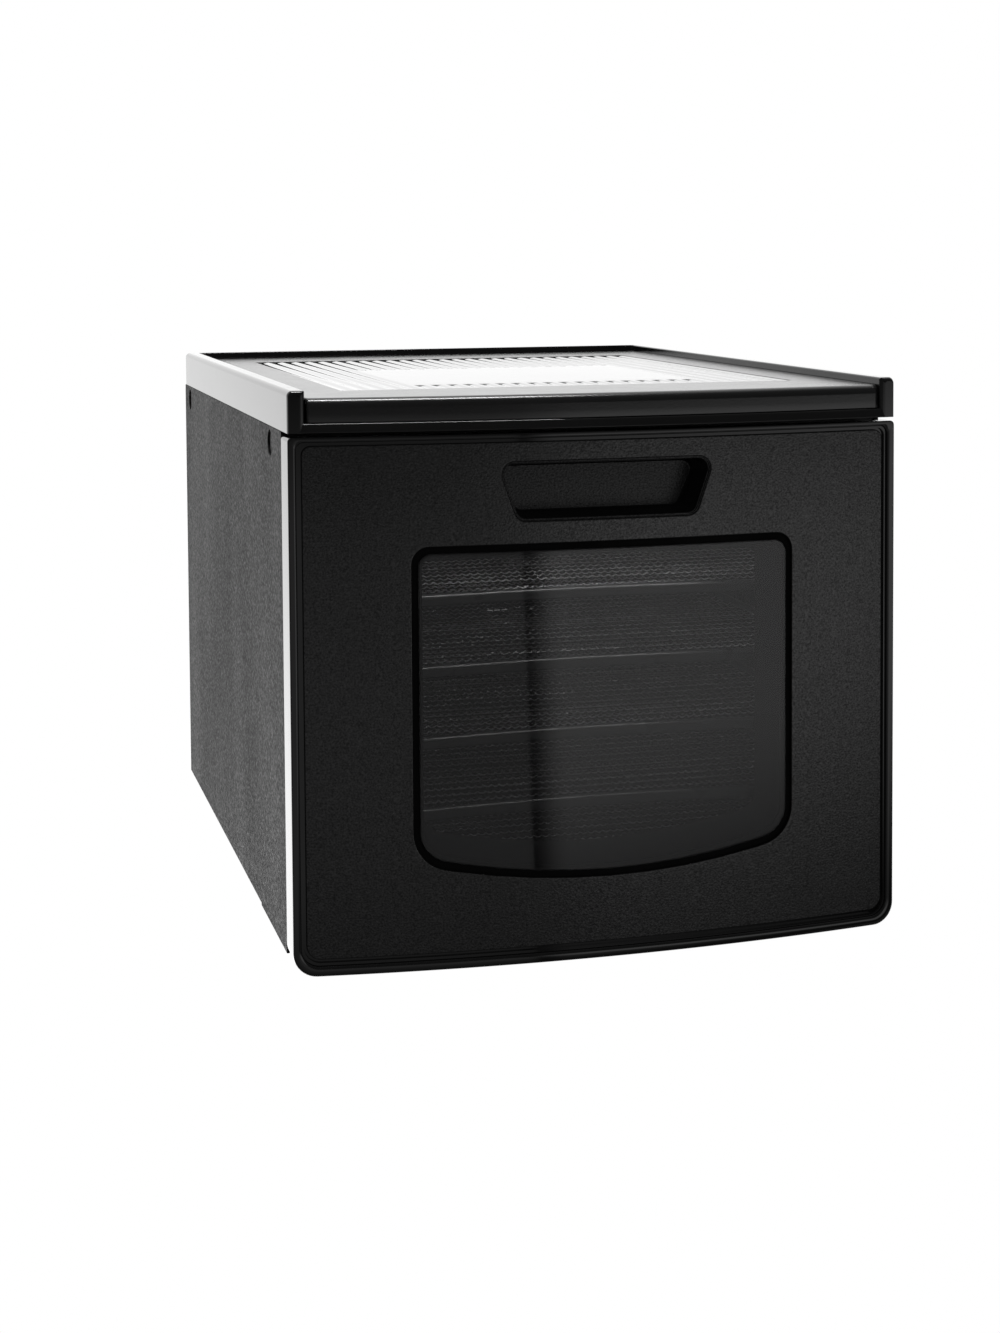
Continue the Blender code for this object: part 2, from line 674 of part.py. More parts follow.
def make_power_inlet():
    x, z = INLET_PLACE
    flange = REAR_FACE + GAP
    inlet = box("power_inlet", (x - 0.0135, flange - 0.021, z - 0.0100),
                (x + 0.0135, flange + 0.001, z + 0.0100), SATIN)
    rim = box("inlet_rim", (x - 0.0160, flange, z - 0.0125), (x + 0.0160, flange + 0.0020, z + 0.0125),
              collection=CUTTERS)
    socket = box("inlet_socket", (x - 0.0118, flange - 0.0160, z - 0.0082),
                 (x + 0.0118, flange + 0.005, z + 0.0082), collection=CUTTERS)
    join(inlet, rim)
    cut(inlet, socket)
    for index, (px, pz) in enumerate(((-0.007, -0.0015), (0.007, -0.0015), (0, 0.0030))):
        pin = box("inlet_pin_%d" % index, (x + px - 0.001, flange - 0.0170, z + pz - 0.002),
                  (x + px + 0.001, flange - 0.0025, z + pz + 0.002), collection=CUTTERS)
        join(inlet, pin)


def smooth_route(stops, per_span=4):
    """Points on a smooth curve through the stops."""
    points = []
    last = len(stops) - 1
    for i in range(last):
        p0, p1, p2, p3 = (Vector(stops[max(0, min(last, i + k))]) for k in (-1, 0, 1, 2))
        for step in range(per_span):
            t = step / per_span
            points.append(0.5 * (2 * p1 + (p2 - p0) * t + (2 * p0 - 5 * p1 + 4 * p2 - p3) * t ** 2
                                 + (3 * p1 - p0 - 3 * p2 + p3) * t ** 3))
    points.append(Vector(stops[-1]))
    return points


def make_leads():
    y = CORNER_Y + 0.412
    px, pz = INLET_PLACE
    sx, sz = SWITCH_PLACE
    kx, kz = KNOB_PLACE
    inlet_to_switch = [
        (px, y, pz),
        (px + 0.006, y - 0.012, pz + 0.03),
        (px + 0.010, y - 0.012, pz + 0.10),
        (kx + 0.028, y - 0.010, kz - 0.03),
        (kx + 0.026, y - 0.008, kz + 0.02),
        (sx + 0.020, y - 0.006, sz + 0.026),
        (sx, y - 0.004, sz + 0.006),
        (sx, y + 0.0035, sz),
    ]
    thermostat_to_fuse = [
        (kx, y - 0.0006, kz),
        (kx - 0.004, y - 0.016, kz - 0.004),
        (0.098, y - 0.026, FAN_HEIGHT + 0.076),
        (0.0932, y - 0.0435, FAN_HEIGHT + 0.078),
    ]
    tube("mains_lead", smooth_route(inlet_to_switch, 3), 0.0020, LEAD)
    tube("heater_lead", smooth_route(thermostat_to_fuse), 0.0016, LEAD)


# ---------------------------------------------------------------- door
RIM_OPENING_LOW = DOOR_BOTTOM + 0.009
RIM_OPENING_HIGH = DOOR_TOP - 0.0051
RIM_OPENING_HALF = HALF - 0.0077
PANEL_RECESS = 0.0012
SKIN = 0.003
PANE_INSET = 0.0039
WINDOW_REACH = 0.115     # half width of the blanks that the gasket and pane are cut from
LINER_BACK_INSET = 0.0105


def corner_outline(half_width, low, high, top_radius, bottom_radius):
    corners = rectangle((-half_width, low), (half_width, high))
    return rounded(corners, [bottom_radius, bottom_radius, top_radius, top_radius])


def make_door_frame():
    frame = bowed_block("door_frame", HALF, DOOR_BOTTOM, DOOR_TOP, 0, DOOR_BACK, GLOSS)
    shape = corner_outline(HALF + 0.00001, DOOR_BOTTOM, DOOR_TOP, 0.0025, 0.0125)
    trim(frame, front_cutter("door_silhouette", shape, CUT_FRONT, CUT_BACK))
    mouth = corner_outline(RIM_OPENING_HALF, RIM_OPENING_LOW, RIM_OPENING_HIGH, 0.003, 0.0075)
    cut(frame, front_cutter("door_mouth", mouth, CUT_FRONT, CUT_BACK))
    return frame


def make_door_panel():
    half = RIM_OPENING_HALF - GAP
    low, high = RIM_OPENING_LOW + GAP, RIM_OPENING_HIGH - GAP
    panel = bowed_skin("door_panel", half, low, high, PANEL_RECESS, SKIN, SATIN)
    shape = corner_outline(half, low, high, 0.0027, 0.0072)
    trim(panel, front_cutter("panel_silhouette", shape, CUT_FRONT, CUT_BACK))
    cut(panel, front_cutter("window_hole", window_outline(0), CUT_FRONT, CASE_FRONT),
        front_cutter("handle_hole", handle_outline(0), CUT_FRONT, CASE_FRONT))
    return panel


def make_window():
    low, high = RIM_OPENING_LOW, RIM_OPENING_HIGH
    gasket = bowed_skin("window_gasket", WINDOW_REACH, low, high, 0.0008, 0.0050, RUBBER)
    trim(gasket, front_cutter("gasket_outer", window_outline(GAP), CUT_FRONT, CASE_FRONT))
    cut(gasket, front_cutter("gasket_inner", window_outline(PANE_INSET - GAP), CUT_FRONT,
                             CASE_FRONT))
    pane = bowed_skin("window_pane", WINDOW_REACH, low, high, 0.0018, 0.0030, SMOKE)
    trim(pane, front_cutter("pane_outer", window_outline(PANE_INSET), CUT_FRONT, CASE_FRONT))
    return gasket, pane


def make_door_inner():
    """Flat back plate with a tapered tunnel to the pane, and two locating pegs."""
    half = RIM_OPENING_HALF - GAP
    low, high = RIM_OPENING_LOW + GAP, RIM_OPENING_HIGH - GAP
    plate_front = DOOR_BACK - 0.0025
    shape = corner_outline(half, low, high, 0.0027, 0.0072)
    inner = plate("door_inner", [shape], plate_front, DOOR_BACK, FACES_FRONT, GRAIN)
    tunnel = front_cutter("liner_wall", window_outline(PANE_INSET + 0.0001), CORNER_Y - 0.03,
                          DOOR_BACK - 0.001)
    trim(tunnel, bowed_block("liner_bow", WINDOW_REACH, low, high, 0.0052, DOOR_BACK, collection=CUTTERS))
    join(inner, tunnel)
    cut(inner, loft("liner_tunnel", window_outline(0.0030), window_outline(LINER_BACK_INSET + 0.002),
                    CORNER_Y - 0.014, DOOR_BACK + 0.004))
    for sign in (-1, 1):
        peg = cylinder("peg_%d" % (sign + 1), (sign * STRIKE_X, DOOR_BACK + 0.003, PEG_HEIGHT),
                       PEG_RADIUS, 0.010, (0, 1, 0), 16, collection=CUTTERS)
        join(inner, peg)
    pieces = [inner]
    for side, sign in SIDES.items():
        x = sign * STRIKE_X
        cut(inner, box("magnet_hole_" + side, (x - 0.0153, plate_front - 0.002, STRIKE_HEIGHT - 0.0053),
                       (x + 0.0153, DOOR_BACK + 0.002, STRIKE_HEIGHT + 0.0053), collection=CUTTERS))
        pieces.append(box("door_magnet_" + side, (x - 0.015, plate_front, STRIKE_HEIGHT - 0.005),
                          (x + 0.015, DOOR_BACK, STRIKE_HEIGHT + 0.005), MOTOR_METAL))
    return pieces


def make_handle_cup():
    floor_y = CORNER_Y + 0.0135
    cup = bowed_block("handle_cup", 0.066, DOOR_BOTTOM + 0.235, DOOR_BOTTOM + 0.277, 0.0006, floor_y,
                      GLOSS)
    trim(cup, front_cutter("cup_outer", handle_outline(GAP), CUT_FRONT, CASE_FRONT))
    cut(cup, loft("cup_hollow", handle_outline(0.0016), handle_outline(0.0046), CORNER_Y - 0.016,
                  floor_y - 0.002))
    return cup


def make_door():
    pieces = [make_door_frame(), make_door_panel(), *make_window(), *make_door_inner(),
              make_handle_cup()]
    move_with(joint_empty("door_joint", (0, CASE_FRONT, DOOR_BOTTOM)), *pieces)


# ---------------------------------------------------------------- trays
def tray_front_curve(half_width, setback):
    """The tray's front edge, which curves inwards between the corners for the fingers."""
    steps = 12
    points = []
    for i in range(steps + 1):
        x = -half_width + 2 * half_width * i / steps
        dip = TRAY_GRIP * (0.5 + 0.5 * math.cos(math.pi * x / TRAY_HALF_WIDTH))
        points.append((x, TRAY_FRONT + setback + dip))
    return points


def tray_loop(inset):
    half = TRAY_HALF_WIDTH - inset
    return tray_front_curve(half, inset) + [(half, TRAY_BACK - inset), (-half, TRAY_BACK - inset)]


def make_tray(index):
    number = index + 1
    top = tray_top(index)
    low = top - TRAY_RIM
    frame = plate("tray_frame_%d" % number, [tray_loop(0), tray_loop(TRAY_BAR)], low, top, FACES_UP,
                  TRAY_PLASTIC)
    reach = TRAY_HALF_WIDTH - TRAY_BAR / 2
    bar = 0.002
    for place in (-0.052, 0.052):
        join(frame, box("tray_rib_x%+.3f_%d" % (place, number),
                        (place - bar, TRAY_FRONT + TRAY_GRIP + 0.001, low + 0.0002),
                        (place + bar, TRAY_BACK - TRAY_BAR / 2, low + 0.0040), collection=CUTTERS))
    for deep in (0.110, 0.215):
        y = TRAY_FRONT + deep
        join(frame, box("tray_rib_y%.3f_%d" % (deep, number), (-reach, y - bar, low + 0.0001),
                        (reach, y + bar, low + 0.0041), collection=CUTTERS))
    mesh_low = low + 0.0041 + GAP
    slots = []
    strips = 12
    inner = TRAY_HALF_WIDTH - TRAY_BAR - 0.0005
    pitch = 2 * inner / strips
    for strip in range(strips):
        x = -inner + pitch * (strip + 0.5)
        slots.append(rectangle((x - pitch * 0.38, TRAY_FRONT + TRAY_GRIP + 0.012),
                               (x + pitch * 0.38, TRAY_BACK - 0.012)))
    sheet = plate("tray_mesh_%d" % number, [tray_loop(TRAY_BAR + 0.0005)] + slots, mesh_low,
                  mesh_low + 0.001, FACES_UP, MESH_PLASTIC)
    move_with(joint_empty("tray_%d_joint" % number, (0, TRAY_FRONT, top)), frame, sheet)


# ---------------------------------------------------------------- assembly
make_side_panels()
make_top_cover()
make_base_pan()
make_feet()
make_front_bezel()
make_tray_guides()
make_rear_baffle()
make_rear_panel()
make_fan()
make_motor()
make_heater()
make_thermostat()
make_switch()
make_power_inlet()
make_leads()
make_door()
for tray_index in range(TRAY_COUNT):
    make_tray(tray_index)
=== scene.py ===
"""Looks of the box food dehydrator: every visible surface, the studio and the camera."""
import json
import math

import bmesh
import bpy
from mathutils import Matrix, Vector


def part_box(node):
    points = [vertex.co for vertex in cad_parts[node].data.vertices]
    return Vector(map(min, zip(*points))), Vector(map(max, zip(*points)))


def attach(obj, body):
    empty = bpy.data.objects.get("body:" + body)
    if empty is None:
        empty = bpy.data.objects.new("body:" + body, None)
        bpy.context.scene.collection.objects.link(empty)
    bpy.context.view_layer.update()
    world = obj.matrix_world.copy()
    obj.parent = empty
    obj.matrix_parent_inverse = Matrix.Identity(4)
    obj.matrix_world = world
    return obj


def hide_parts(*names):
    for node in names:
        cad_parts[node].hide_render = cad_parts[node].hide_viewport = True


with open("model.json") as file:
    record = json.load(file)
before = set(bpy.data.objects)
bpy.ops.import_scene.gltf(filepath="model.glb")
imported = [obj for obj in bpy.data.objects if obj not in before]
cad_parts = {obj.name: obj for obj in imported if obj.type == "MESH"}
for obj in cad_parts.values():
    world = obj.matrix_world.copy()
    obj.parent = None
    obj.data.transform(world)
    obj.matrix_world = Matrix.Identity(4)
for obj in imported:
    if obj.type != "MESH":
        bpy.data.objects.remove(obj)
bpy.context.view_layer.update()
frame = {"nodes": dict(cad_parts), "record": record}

# ---------------------------------------------------------------- places, all from the frame
COVER_LOW, COVER_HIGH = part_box("top_cover")
DOOR_LOW, DOOR_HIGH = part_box("door_frame")
DOOR_LEAD = 0.0216                      # the front corners stand this far ahead of the side panels
HALF = COVER_HIGH.x
REAR_Y = COVER_HIGH.y
CORNER_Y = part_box("side_panel_left")[0].y - DOOR_LEAD   # upright plane through the front corners
BOW = CORNER_Y - COVER_LOW.y            # the middle of the front stands this far ahead of it
DOOR_BOTTOM = DOOR_LOW.z
DOOR_TOP = DOOR_HIGH.z
DOOR_BACK = DOOR_HIGH.y
LID_BOTTOM = COVER_LOW.z
RAIL_TOP = COVER_HIGH.z
LID_TOP = RAIL_TOP - 0.0042             # the deck lies this far below the rails' top
RAIL_WIDTH = 0.0093
STRIP_TOP = LID_BOTTOM + 0.0051         # top of the glossy strip under the lid's front band
MM = 0.001
ARC = 10                                # steps in a rounded corner
COLUMNS = 96                            # upright strips across the bowed front

MATERIALS = {}


# ---------------------------------------------------------------- material nodes
def shader_material(name, colour, roughness, **sockets):
    """A new Principled material under its name; returns its nodes, its links and its shader."""
    material = bpy.data.materials.new(name)
    material.use_nodes = True
    nodes = material.node_tree.nodes
    shader = nodes["Principled BSDF"]
    shader.inputs["Base Color"].default_value = (*colour, 1.0)
    shader.inputs["Roughness"].default_value = roughness
    for socket, value in sockets.items():
        shader.inputs[socket.replace("_", " ")].default_value = value
    MATERIALS[name] = material
    return nodes, material.node_tree.links, shader


def noise(nodes, links, scale, detail=2.0, stretch=(1, 1, 1)):
    """A noise texture over the object's own metres; returns its value socket."""
    place = nodes.new("ShaderNodeTexCoord")
    mapping = nodes.new("ShaderNodeMapping")
    mapping.inputs["Scale"].default_value = stretch
    texture = nodes.new("ShaderNodeTexNoise")
    texture.inputs["Scale"].default_value = scale
    texture.inputs["Detail"].default_value = detail
    links.new(place.outputs["Object"], mapping.inputs["Vector"])
    links.new(mapping.outputs["Vector"], texture.inputs["Vector"])
    return texture.outputs["Fac"]


def remap(nodes, links, value, low, high):
    """Stretches the middle of a noise's range to run from low to high."""
    step = nodes.new("ShaderNodeMapRange")
    step.inputs["From Min"].default_value = 0.3
    step.inputs["From Max"].default_value = 0.7
    step.inputs["To Min"].default_value = low
    step.inputs["To Max"].default_value = high
    links.new(value, step.inputs["Value"])
    return step.outputs["Result"]


def smooth_step(nodes, links, value, start, end, low, high):
    """Goes smoothly from low to high while the value goes from start to end."""
    step = nodes.new("ShaderNodeMapRange")
    step.interpolation_type = "SMOOTHSTEP"
    step.inputs["From Min"].default_value = start
    step.inputs["From Max"].default_value = end
    step.inputs["To Min"].default_value = low
    step.inputs["To Max"].default_value = high
    links.new(value, step.inputs["Value"])
    return step.outputs["Result"]


def multiply(nodes, links, first, second):
    """The product of two value sockets."""
    product = nodes.new("ShaderNodeMath")
    product.operation = "MULTIPLY"
    links.new(first, product.inputs[0])
    links.new(second, product.inputs[1])
    return product.outputs["Value"]


def bump(nodes, links, shader, value, strength, distance, under=None):
    """Bumps the shader's normal by a height in metres, on top of the bump under it."""
    step = nodes.new("ShaderNodeBump")
    step.inputs["Strength"].default_value = strength
    step.inputs["Distance"].default_value = distance
    links.new(value, step.inputs["Height"])
    if under is not None:
        links.new(under, step.inputs["Normal"])
    links.new(step.outputs["Normal"], shader.inputs["Normal"])
    return step.outputs["Normal"]


def tint(nodes, links, shader, value, dark, light):
    """Lets the base colour drift between two colours with a noise."""
    ramp = nodes.new("ShaderNodeValToRGB")
    ramp.color_ramp.elements[0].position = 0.35
    ramp.color_ramp.elements[1].position = 0.65
    ramp.color_ramp.elements[0].color = (*dark, 1)
    ramp.color_ramp.elements[1].color = (*light, 1)
    links.new(value, ramp.inputs["Fac"])
    links.new(ramp.outputs["Color"], shader.inputs["Base Color"])


def moulded(name, grey, roughness, grain, height, vary=0.05, fleck=None, **sockets):
    """Moulded plastic: spark-eroded grain of a height in mm, slow tone change, patchy gloss.

    fleck is (socket, low, high, slow) for a grain that shows as flecks, in faint upright streaks.
    """
    patch_scale, wear_scale, ripple_scale, streak_scale = 14, 55, 9, 11
    colour = (grey, grey, grey * 1.03)
    nodes, links, shader = shader_material(name, colour, roughness, **sockets)
    cells = noise(nodes, links, grain, 2.5)
    patches = noise(nodes, links, patch_scale, 3)
    tint(nodes, links, shader, patches, (grey * 0.9,) * 3, (grey * 1.1, grey * 1.1, grey * 1.14))
    wear = noise(nodes, links, wear_scale, 4)
    links.new(remap(nodes, links, wear, roughness - vary, roughness + vary),
              shader.inputs["Roughness"])
    fine = bump(nodes, links, shader, cells, 1.0, height * MM)
    ripple = noise(nodes, links, ripple_scale, 1)
    bump(nodes, links, shader, ripple, 1.0, 0.04 * MM, fine)
    if fleck:
        socket, low, high, slow = fleck
        pits = remap(nodes, links, noise(nodes, links, grain, 4), low, high)
        upright = noise(nodes, links, streak_scale, 3, (1, 1, 0.25))
        streaks = remap(nodes, links, upright, 1 - slow, 1 + slow)
        links.new(multiply(nodes, links, pits, streaks), shader.inputs[socket])


def make_materials():
    """Every finish: name, grey, roughness, grain scale, grain height in mm, roughness variation."""
    shine = "Specular IOR Level"
    moulded("gloss_black", 0.004, 0.08, 700, 0.002, 0.02)
    moulded("satin_black", 0.005, 0.26, 1000, 0.12, 0.01, (shine, 0.22, 0.74, 0.04))
    moulded("deck_black", 0.005, 0.22, 900, 0.03, 0.01, Specular_IOR_Level=0.55)
    moulded("cup_black", 0.004, 0.26, 900, 0.15, 0.01, (shine, 0.14, 0.44, 0.05))
    moulded("grained_black", 0.006, 0.74, 640, 0.15, 0.01, ("Roughness", 0.50, 0.94, 0.10),
            Specular_IOR_Level=0.25)
    moulded("tray_black", 0.020, 0.30, 1300, 0.02)
    moulded("black_rubber", 0.002, 0.80, 900, 0.10, Specular_IOR_Level=0.1)
    moulded("insert_gloss", 0.012, 0.05, 600, 0.001, 0.015, Specular_IOR_Level=0.9)
    moulded("net_grid", 0.006, 0.8, 2200, 0.02, Specular_IOR_Level=0.05)
    # light grey on the net's raised strands is a painted highlight of their glints; the net is one
    # dark plastic
    moulded("net_crest_painted_highlight", 0.42, 0.42, 2200, 0.02)
    moulded("white_ceramic", 0.72, 0.6, 1500, 0.03)
    moulded("lead_grey", 0.3, 0.65, 1500, 0.05)
    moulded("tick_white", 0.62, 0.5, 1500, 0.01)
    metal("plated_steel", (0.60, 0.60, 0.61), 0.32, (1, 1, 30))
    metal("motor_steel", (0.32, 0.32, 0.33), 0.42, (1, 20, 1))
    metal("heater_wire", (0.42, 0.33, 0.27), 0.5, (1, 1, 1))
    smoked_pane()


def metal(name, colour, roughness, stretch):
    """Plated or rolled metal with faint lines along one direction."""
    nodes, links, shader = shader_material(name, colour, roughness, Metallic=1.0)
    lines = noise(nodes, links, 60, 4, stretch)
    links.new(remap(nodes, links, lines, roughness - 0.08, roughness + 0.12),
              shader.inputs["Roughness"])
    bump(nodes, links, shader, lines, 0.12, 0.0001)
    blotch = noise(nodes, links, 22, 3)
    tint(nodes, links, shader, blotch, [c * 0.85 for c in colour], [min(1, c * 1.1) for c in colour])


def smoked_pane():
    """Smoked clear plastic: dark and see-through, with a faint ripple and fine dust."""
    nodes, links, shader = shader_material(
        "smoked_clear", (0.006, 0.006, 0.0065), 0.035, Alpha=0.46, Specular_IOR_Level=0.7)
    ripple = noise(nodes, links, 12, 1)
    bump(nodes, links, shader, ripple, 0.03, 0.001)
    dust = noise(nodes, links, 380, 5)
    links.new(remap(nodes, links, dust, 0.025, 0.06), shader.inputs["Roughness"])


# ---------------------------------------------------------------- mesh helpers
def front_y(x, depth=0.0):
    """The bowed front's y at a place across it, at a depth behind its face."""
    return CORNER_Y - BOW * (1 - (x / HALF) ** 2) + depth


def quarter_turn(steps):
    """The angles from 0 to 90 degrees in equal steps, both ends included."""
    return [math.pi / 2 * k / steps for k in range(steps + 1)]


def spread(low, high, count):
    """Evenly spaced numbers from low to high, both ends included."""
    return [low + (high - low) * i / count for i in range(count + 1)]


def rounded(corners, radii):
    """A closed outline with each corner rounded by its own radius; 0 keeps the corner."""
    outline = []
    for i, corner in enumerate(corners):
        here = Vector(corner)
        to_last = (Vector(corners[i - 1]) - here).normalized()
        to_next = (Vector(corners[(i + 1) % len(corners)]) - here).normalized()
        if radii[i] == 0:
            outline.append(tuple(here))
            continue
        half_angle = to_last.angle(to_next) / 2
        centre = here + (to_last + to_next).normalized() * radii[i] / math.sin(half_angle)
        reach = radii[i] / math.tan(half_angle)
        start = here + to_last * reach - centre
        turn = start.angle_signed(here + to_next * reach - centre)
        outline += [tuple(centre + Matrix.Rotation(-turn * k / ARC, 2) @ start)
                    for k in range(ARC + 1)]
    return outline


def subdivide(outline, longest):
    """Adds points so that no straight stretch is longer than asked; the count follows the first."""
    points = []
    for a, b in zip(outline, outline[1:] + outline[:1]):
        pieces = max(1, math.ceil(math.dist(a, b) / longest))
        points += [tuple(Vector(a).lerp(Vector(b), k / pieces)) for k in range(pieces)]
    return points


def matched(outer, inner, longest=0.004):
    """Two outlines of the same count, subdivided alike so that they can be joined by strips."""
    first, second = [], []
    for i in range(len(outer)):
        a, b = outer[i], outer[(i + 1) % len(outer)]
        c, d = inner[i], inner[(i + 1) % len(inner)]
        pieces = max(1, math.ceil(math.dist(a, b) / longest))
        for k in range(pieces):
            first.append(Vector(a).lerp(Vector(b), k / pieces))
            second.append(Vector(c).lerp(Vector(d), k / pieces))
    return first, second


def new_piece(name, shape, material, body, slot_name, *replaced, sharp=35):
    """Makes an object from a bmesh, shades it, gives it a finish and ties it to its body."""
    bmesh.ops.recalc_face_normals(shape, faces=shape.faces)
    mesh = bpy.data.meshes.new(name)
    shape.to_mesh(mesh)
    shape.free()
    return dress(bpy.data.objects.new(name, mesh), material, body, slot_name, *replaced,
                 sharp=sharp)


def dress(obj, material, body, slot_name, *replaced, sharp=35):
    """Shades an object, gives it its finish, ties it to its body and hides the CAD nodes it replaces.
    """
    bpy.context.scene.collection.objects.link(obj)
    obj.data.materials.clear()
    obj.data.materials.append(MATERIALS[material])
    obj.data.shade_smooth()
    obj.data.set_sharp_from_angle(angle=math.radians(sharp))
    weighted = obj.modifiers.new("even_shading", "WEIGHTED_NORMAL")
    weighted.keep_sharp = True
    weighted.weight = 60
    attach(obj, body)
    if replaced:
        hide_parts(*replaced)
    return obj


def thicken(obj, thickness):
    """Gives a skin its thickness, on its inner side."""
    solid = obj.modifiers.new("thickness", "SOLIDIFY")
    solid.thickness = thickness
    solid.offset = -1


def strip_faces(shape, rings, closed=True, ends=False):
    """Quads between rings of vertices; closed joins each ring's ends, ends joins last to first."""
    pairs = list(zip(rings, rings[1:])) + ([(rings[-1], rings[0])] if ends else [])
    for low, high in pairs:
        count = len(low)
        for i in range(count if closed else count - 1):
            j = (i + 1) % count
            shape.faces.new((low[i], low[j], high[j], high[i]))


def bowed_ring(name, outer, inner, profile, material, body, slot_name, *replaced):
    """A ring on the bowed front.  profile is (share of the way in, depth); depth None is the back."""
    first, second = matched(outer, inner)
    shape = bmesh.new()
    rings = []
    for share, depth in profile:
        ring = []
        for a, b in zip(first, second):
            spot = a.lerp(b, share)
            y = DOOR_BACK if depth is None else front_y(spot.x, depth)
            ring.append(shape.verts.new((spot.x, y, spot.y)))
        rings.append(ring)
    strip_faces(shape, rings, ends=True)
    return new_piece(name, shape, material, body, slot_name, *replaced)


def outline_mesh(name, loops, thickness, edge):
    """A flat plate (outline in x, z) with rounded edges, its front at y = 0."""
    curve = bpy.data.curves.new(name, "CURVE")
    curve.dimensions = "2D"
    curve.fill_mode = "BOTH"
    curve.extrude = thickness / 2 - edge
    curve.bevel_depth = edge
    curve.bevel_resolution = 3
    curve.offset = -edge
    for loop in loops:
        spline = curve.splines.new("POLY")
        spline.points.add(len(loop) - 1)
        for point, (a, b) in zip(spline.points, loop):
            point.co = (a, b, 0, 1)
        spline.use_cyclic_u = True
    holder = bpy.data.objects.new(name + "_outline", curve)
    bpy.context.scene.collection.objects.link(holder)
    evaluated = holder.evaluated_get(bpy.context.evaluated_depsgraph_get())
    mesh = bpy.data.meshes.new_from_object(evaluated)
    bpy.data.objects.remove(holder)
    bpy.data.curves.remove(curve)
    shape = bmesh.new()
    shape.from_mesh(mesh)
    bpy.data.meshes.remove(mesh)
    bmesh.ops.remove_doubles(shape, verts=shape.verts, dist=0.000005)
    turn = Matrix.Translation((0, thickness / 2, 0)) @ Matrix.Rotation(math.radians(90), 4, "X")
    bmesh.ops.transform(shape, matrix=turn, verts=shape.verts)
    return shape


def bowed_plate(name, loops, depth, thickness, edge, material, body, slot_name, *replaced):
    """A plate with holes that follows the bowed front, its face at a depth behind it."""
    shape = outline_mesh(name, loops, thickness, edge)
    reach = max(abs(v.co.x) for v in shape.verts)
    for x in spread(-reach, reach, COLUMNS)[1:-1]:
        everything = shape.verts[:] + shape.edges[:] + shape.faces[:]
        bmesh.ops.bisect_plane(shape, geom=everything, plane_co=(x, 0, 0), plane_no=(1, 0, 0),
                               dist=0.0000005)
    for vertex in shape.verts:
        vertex.co.y += front_y(vertex.co.x, depth)
    return new_piece(name, shape, material, body, slot_name, *replaced)


def soften(node, material, width):
    """A CAD node's own shape with its edges rounded a little; width 0 leaves them as they are."""
    corner_angle = 40
    source = frame["nodes"][node]
    record = frame["record"]
    slots = {part["node"]: part["material_slot"] for part in record["subparts"]}
    mesh = source.data.copy()
    shape = bmesh.new()
    shape.from_mesh(mesh)
    bmesh.ops.remove_doubles(shape, verts=shape.verts, dist=0.00001)
    bmesh.ops.dissolve_limit(shape, angle_limit=math.radians(0.5), verts=shape.verts,
                             edges=shape.edges)
    shape.to_mesh(mesh)
    shape.free()
    obj = bpy.data.objects.new(node + "_skin", mesh)
    body = next(name for name, nodes in record["behaviour"]["bodies"].items() if node in nodes)
    if width:
        step = obj.modifiers.new("rounded", "BEVEL")
        step.width = width
        step.segments = 2
        step.limit_method = "ANGLE"
        step.angle_limit = math.radians(corner_angle)
        step.use_clamp_overlap = True
    dress(obj, material, body, slots[node], node, sharp=corner_angle)


# ---------------------------------------------------------------- outlines, as in the CAD
WINDOW_HALF = 0.108
WINDOW_TOP = DOOR_BOTTOM + 0.2277
WINDOW_LOW = DOOR_BOTTOM + 0.0445       # the middle of the lower edge
WINDOW_RISE = 0.0128                    # the lower edge's ends stand this much higher
WINDOW_TOP_RADIUS = 0.0095
WINDOW_LOW_RADIUS = 0.021
HANDLE_TOP = DOOR_BOTTOM + 0.2722
HANDLE_LOW = DOOR_BOTTOM + 0.2398
HANDLE_WIDE = 0.062                     # half its width along the top
HANDLE_NARROW = 0.0506                  # half its width along the bottom
HANDLE_RADIUS = 0.007


def window_outline(inset):
    """The window at an inset: round top corners over a lower edge that sags in the middle."""
    half_width = WINDOW_HALF - inset
    top = WINDOW_TOP - inset
    middle = WINDOW_LOW + inset
    sag = [(half_width * f, middle + WINDOW_RISE * f * f) for f in
           (1, 0.8, 0.6, 0.4, 0.2, 0, -0.2, -0.4, -0.6, -0.8, -1)]
    corners = [(-half_width, top), (half_width, top)] + sag
    low_radius = WINDOW_LOW_RADIUS - inset
    radii = [WINDOW_TOP_RADIUS - inset * 0.6] * 2 + [low_radius] + [0] * 9 + [low_radius]
    return rounded(corners, radii)


def handle_outline(side_inset, top_inset, low_inset):
    """The finger recess, wider along its top, at its own inset on the sides, top and bottom."""
    top = HANDLE_TOP - top_inset
    low = HANDLE_LOW + low_inset
    wide = HANDLE_WIDE - side_inset
    narrow = HANDLE_NARROW - side_inset
    corners = [(-wide, top), (wide, top), (narrow, low), (-narrow, low)]
    return rounded(corners, [max(0.003, HANDLE_RADIUS - side_inset * 0.4)] * 4)


def door_outline(half_width, low, high, top_radius, bottom_radius):
    """A rectangle with one radius on its top corners and another on its bottom corners."""
    corners = [(-half_width, low), (half_width, low), (half_width, high), (-half_width, high)]
    return rounded(corners, [bottom_radius, bottom_radius, top_radius, top_radius])


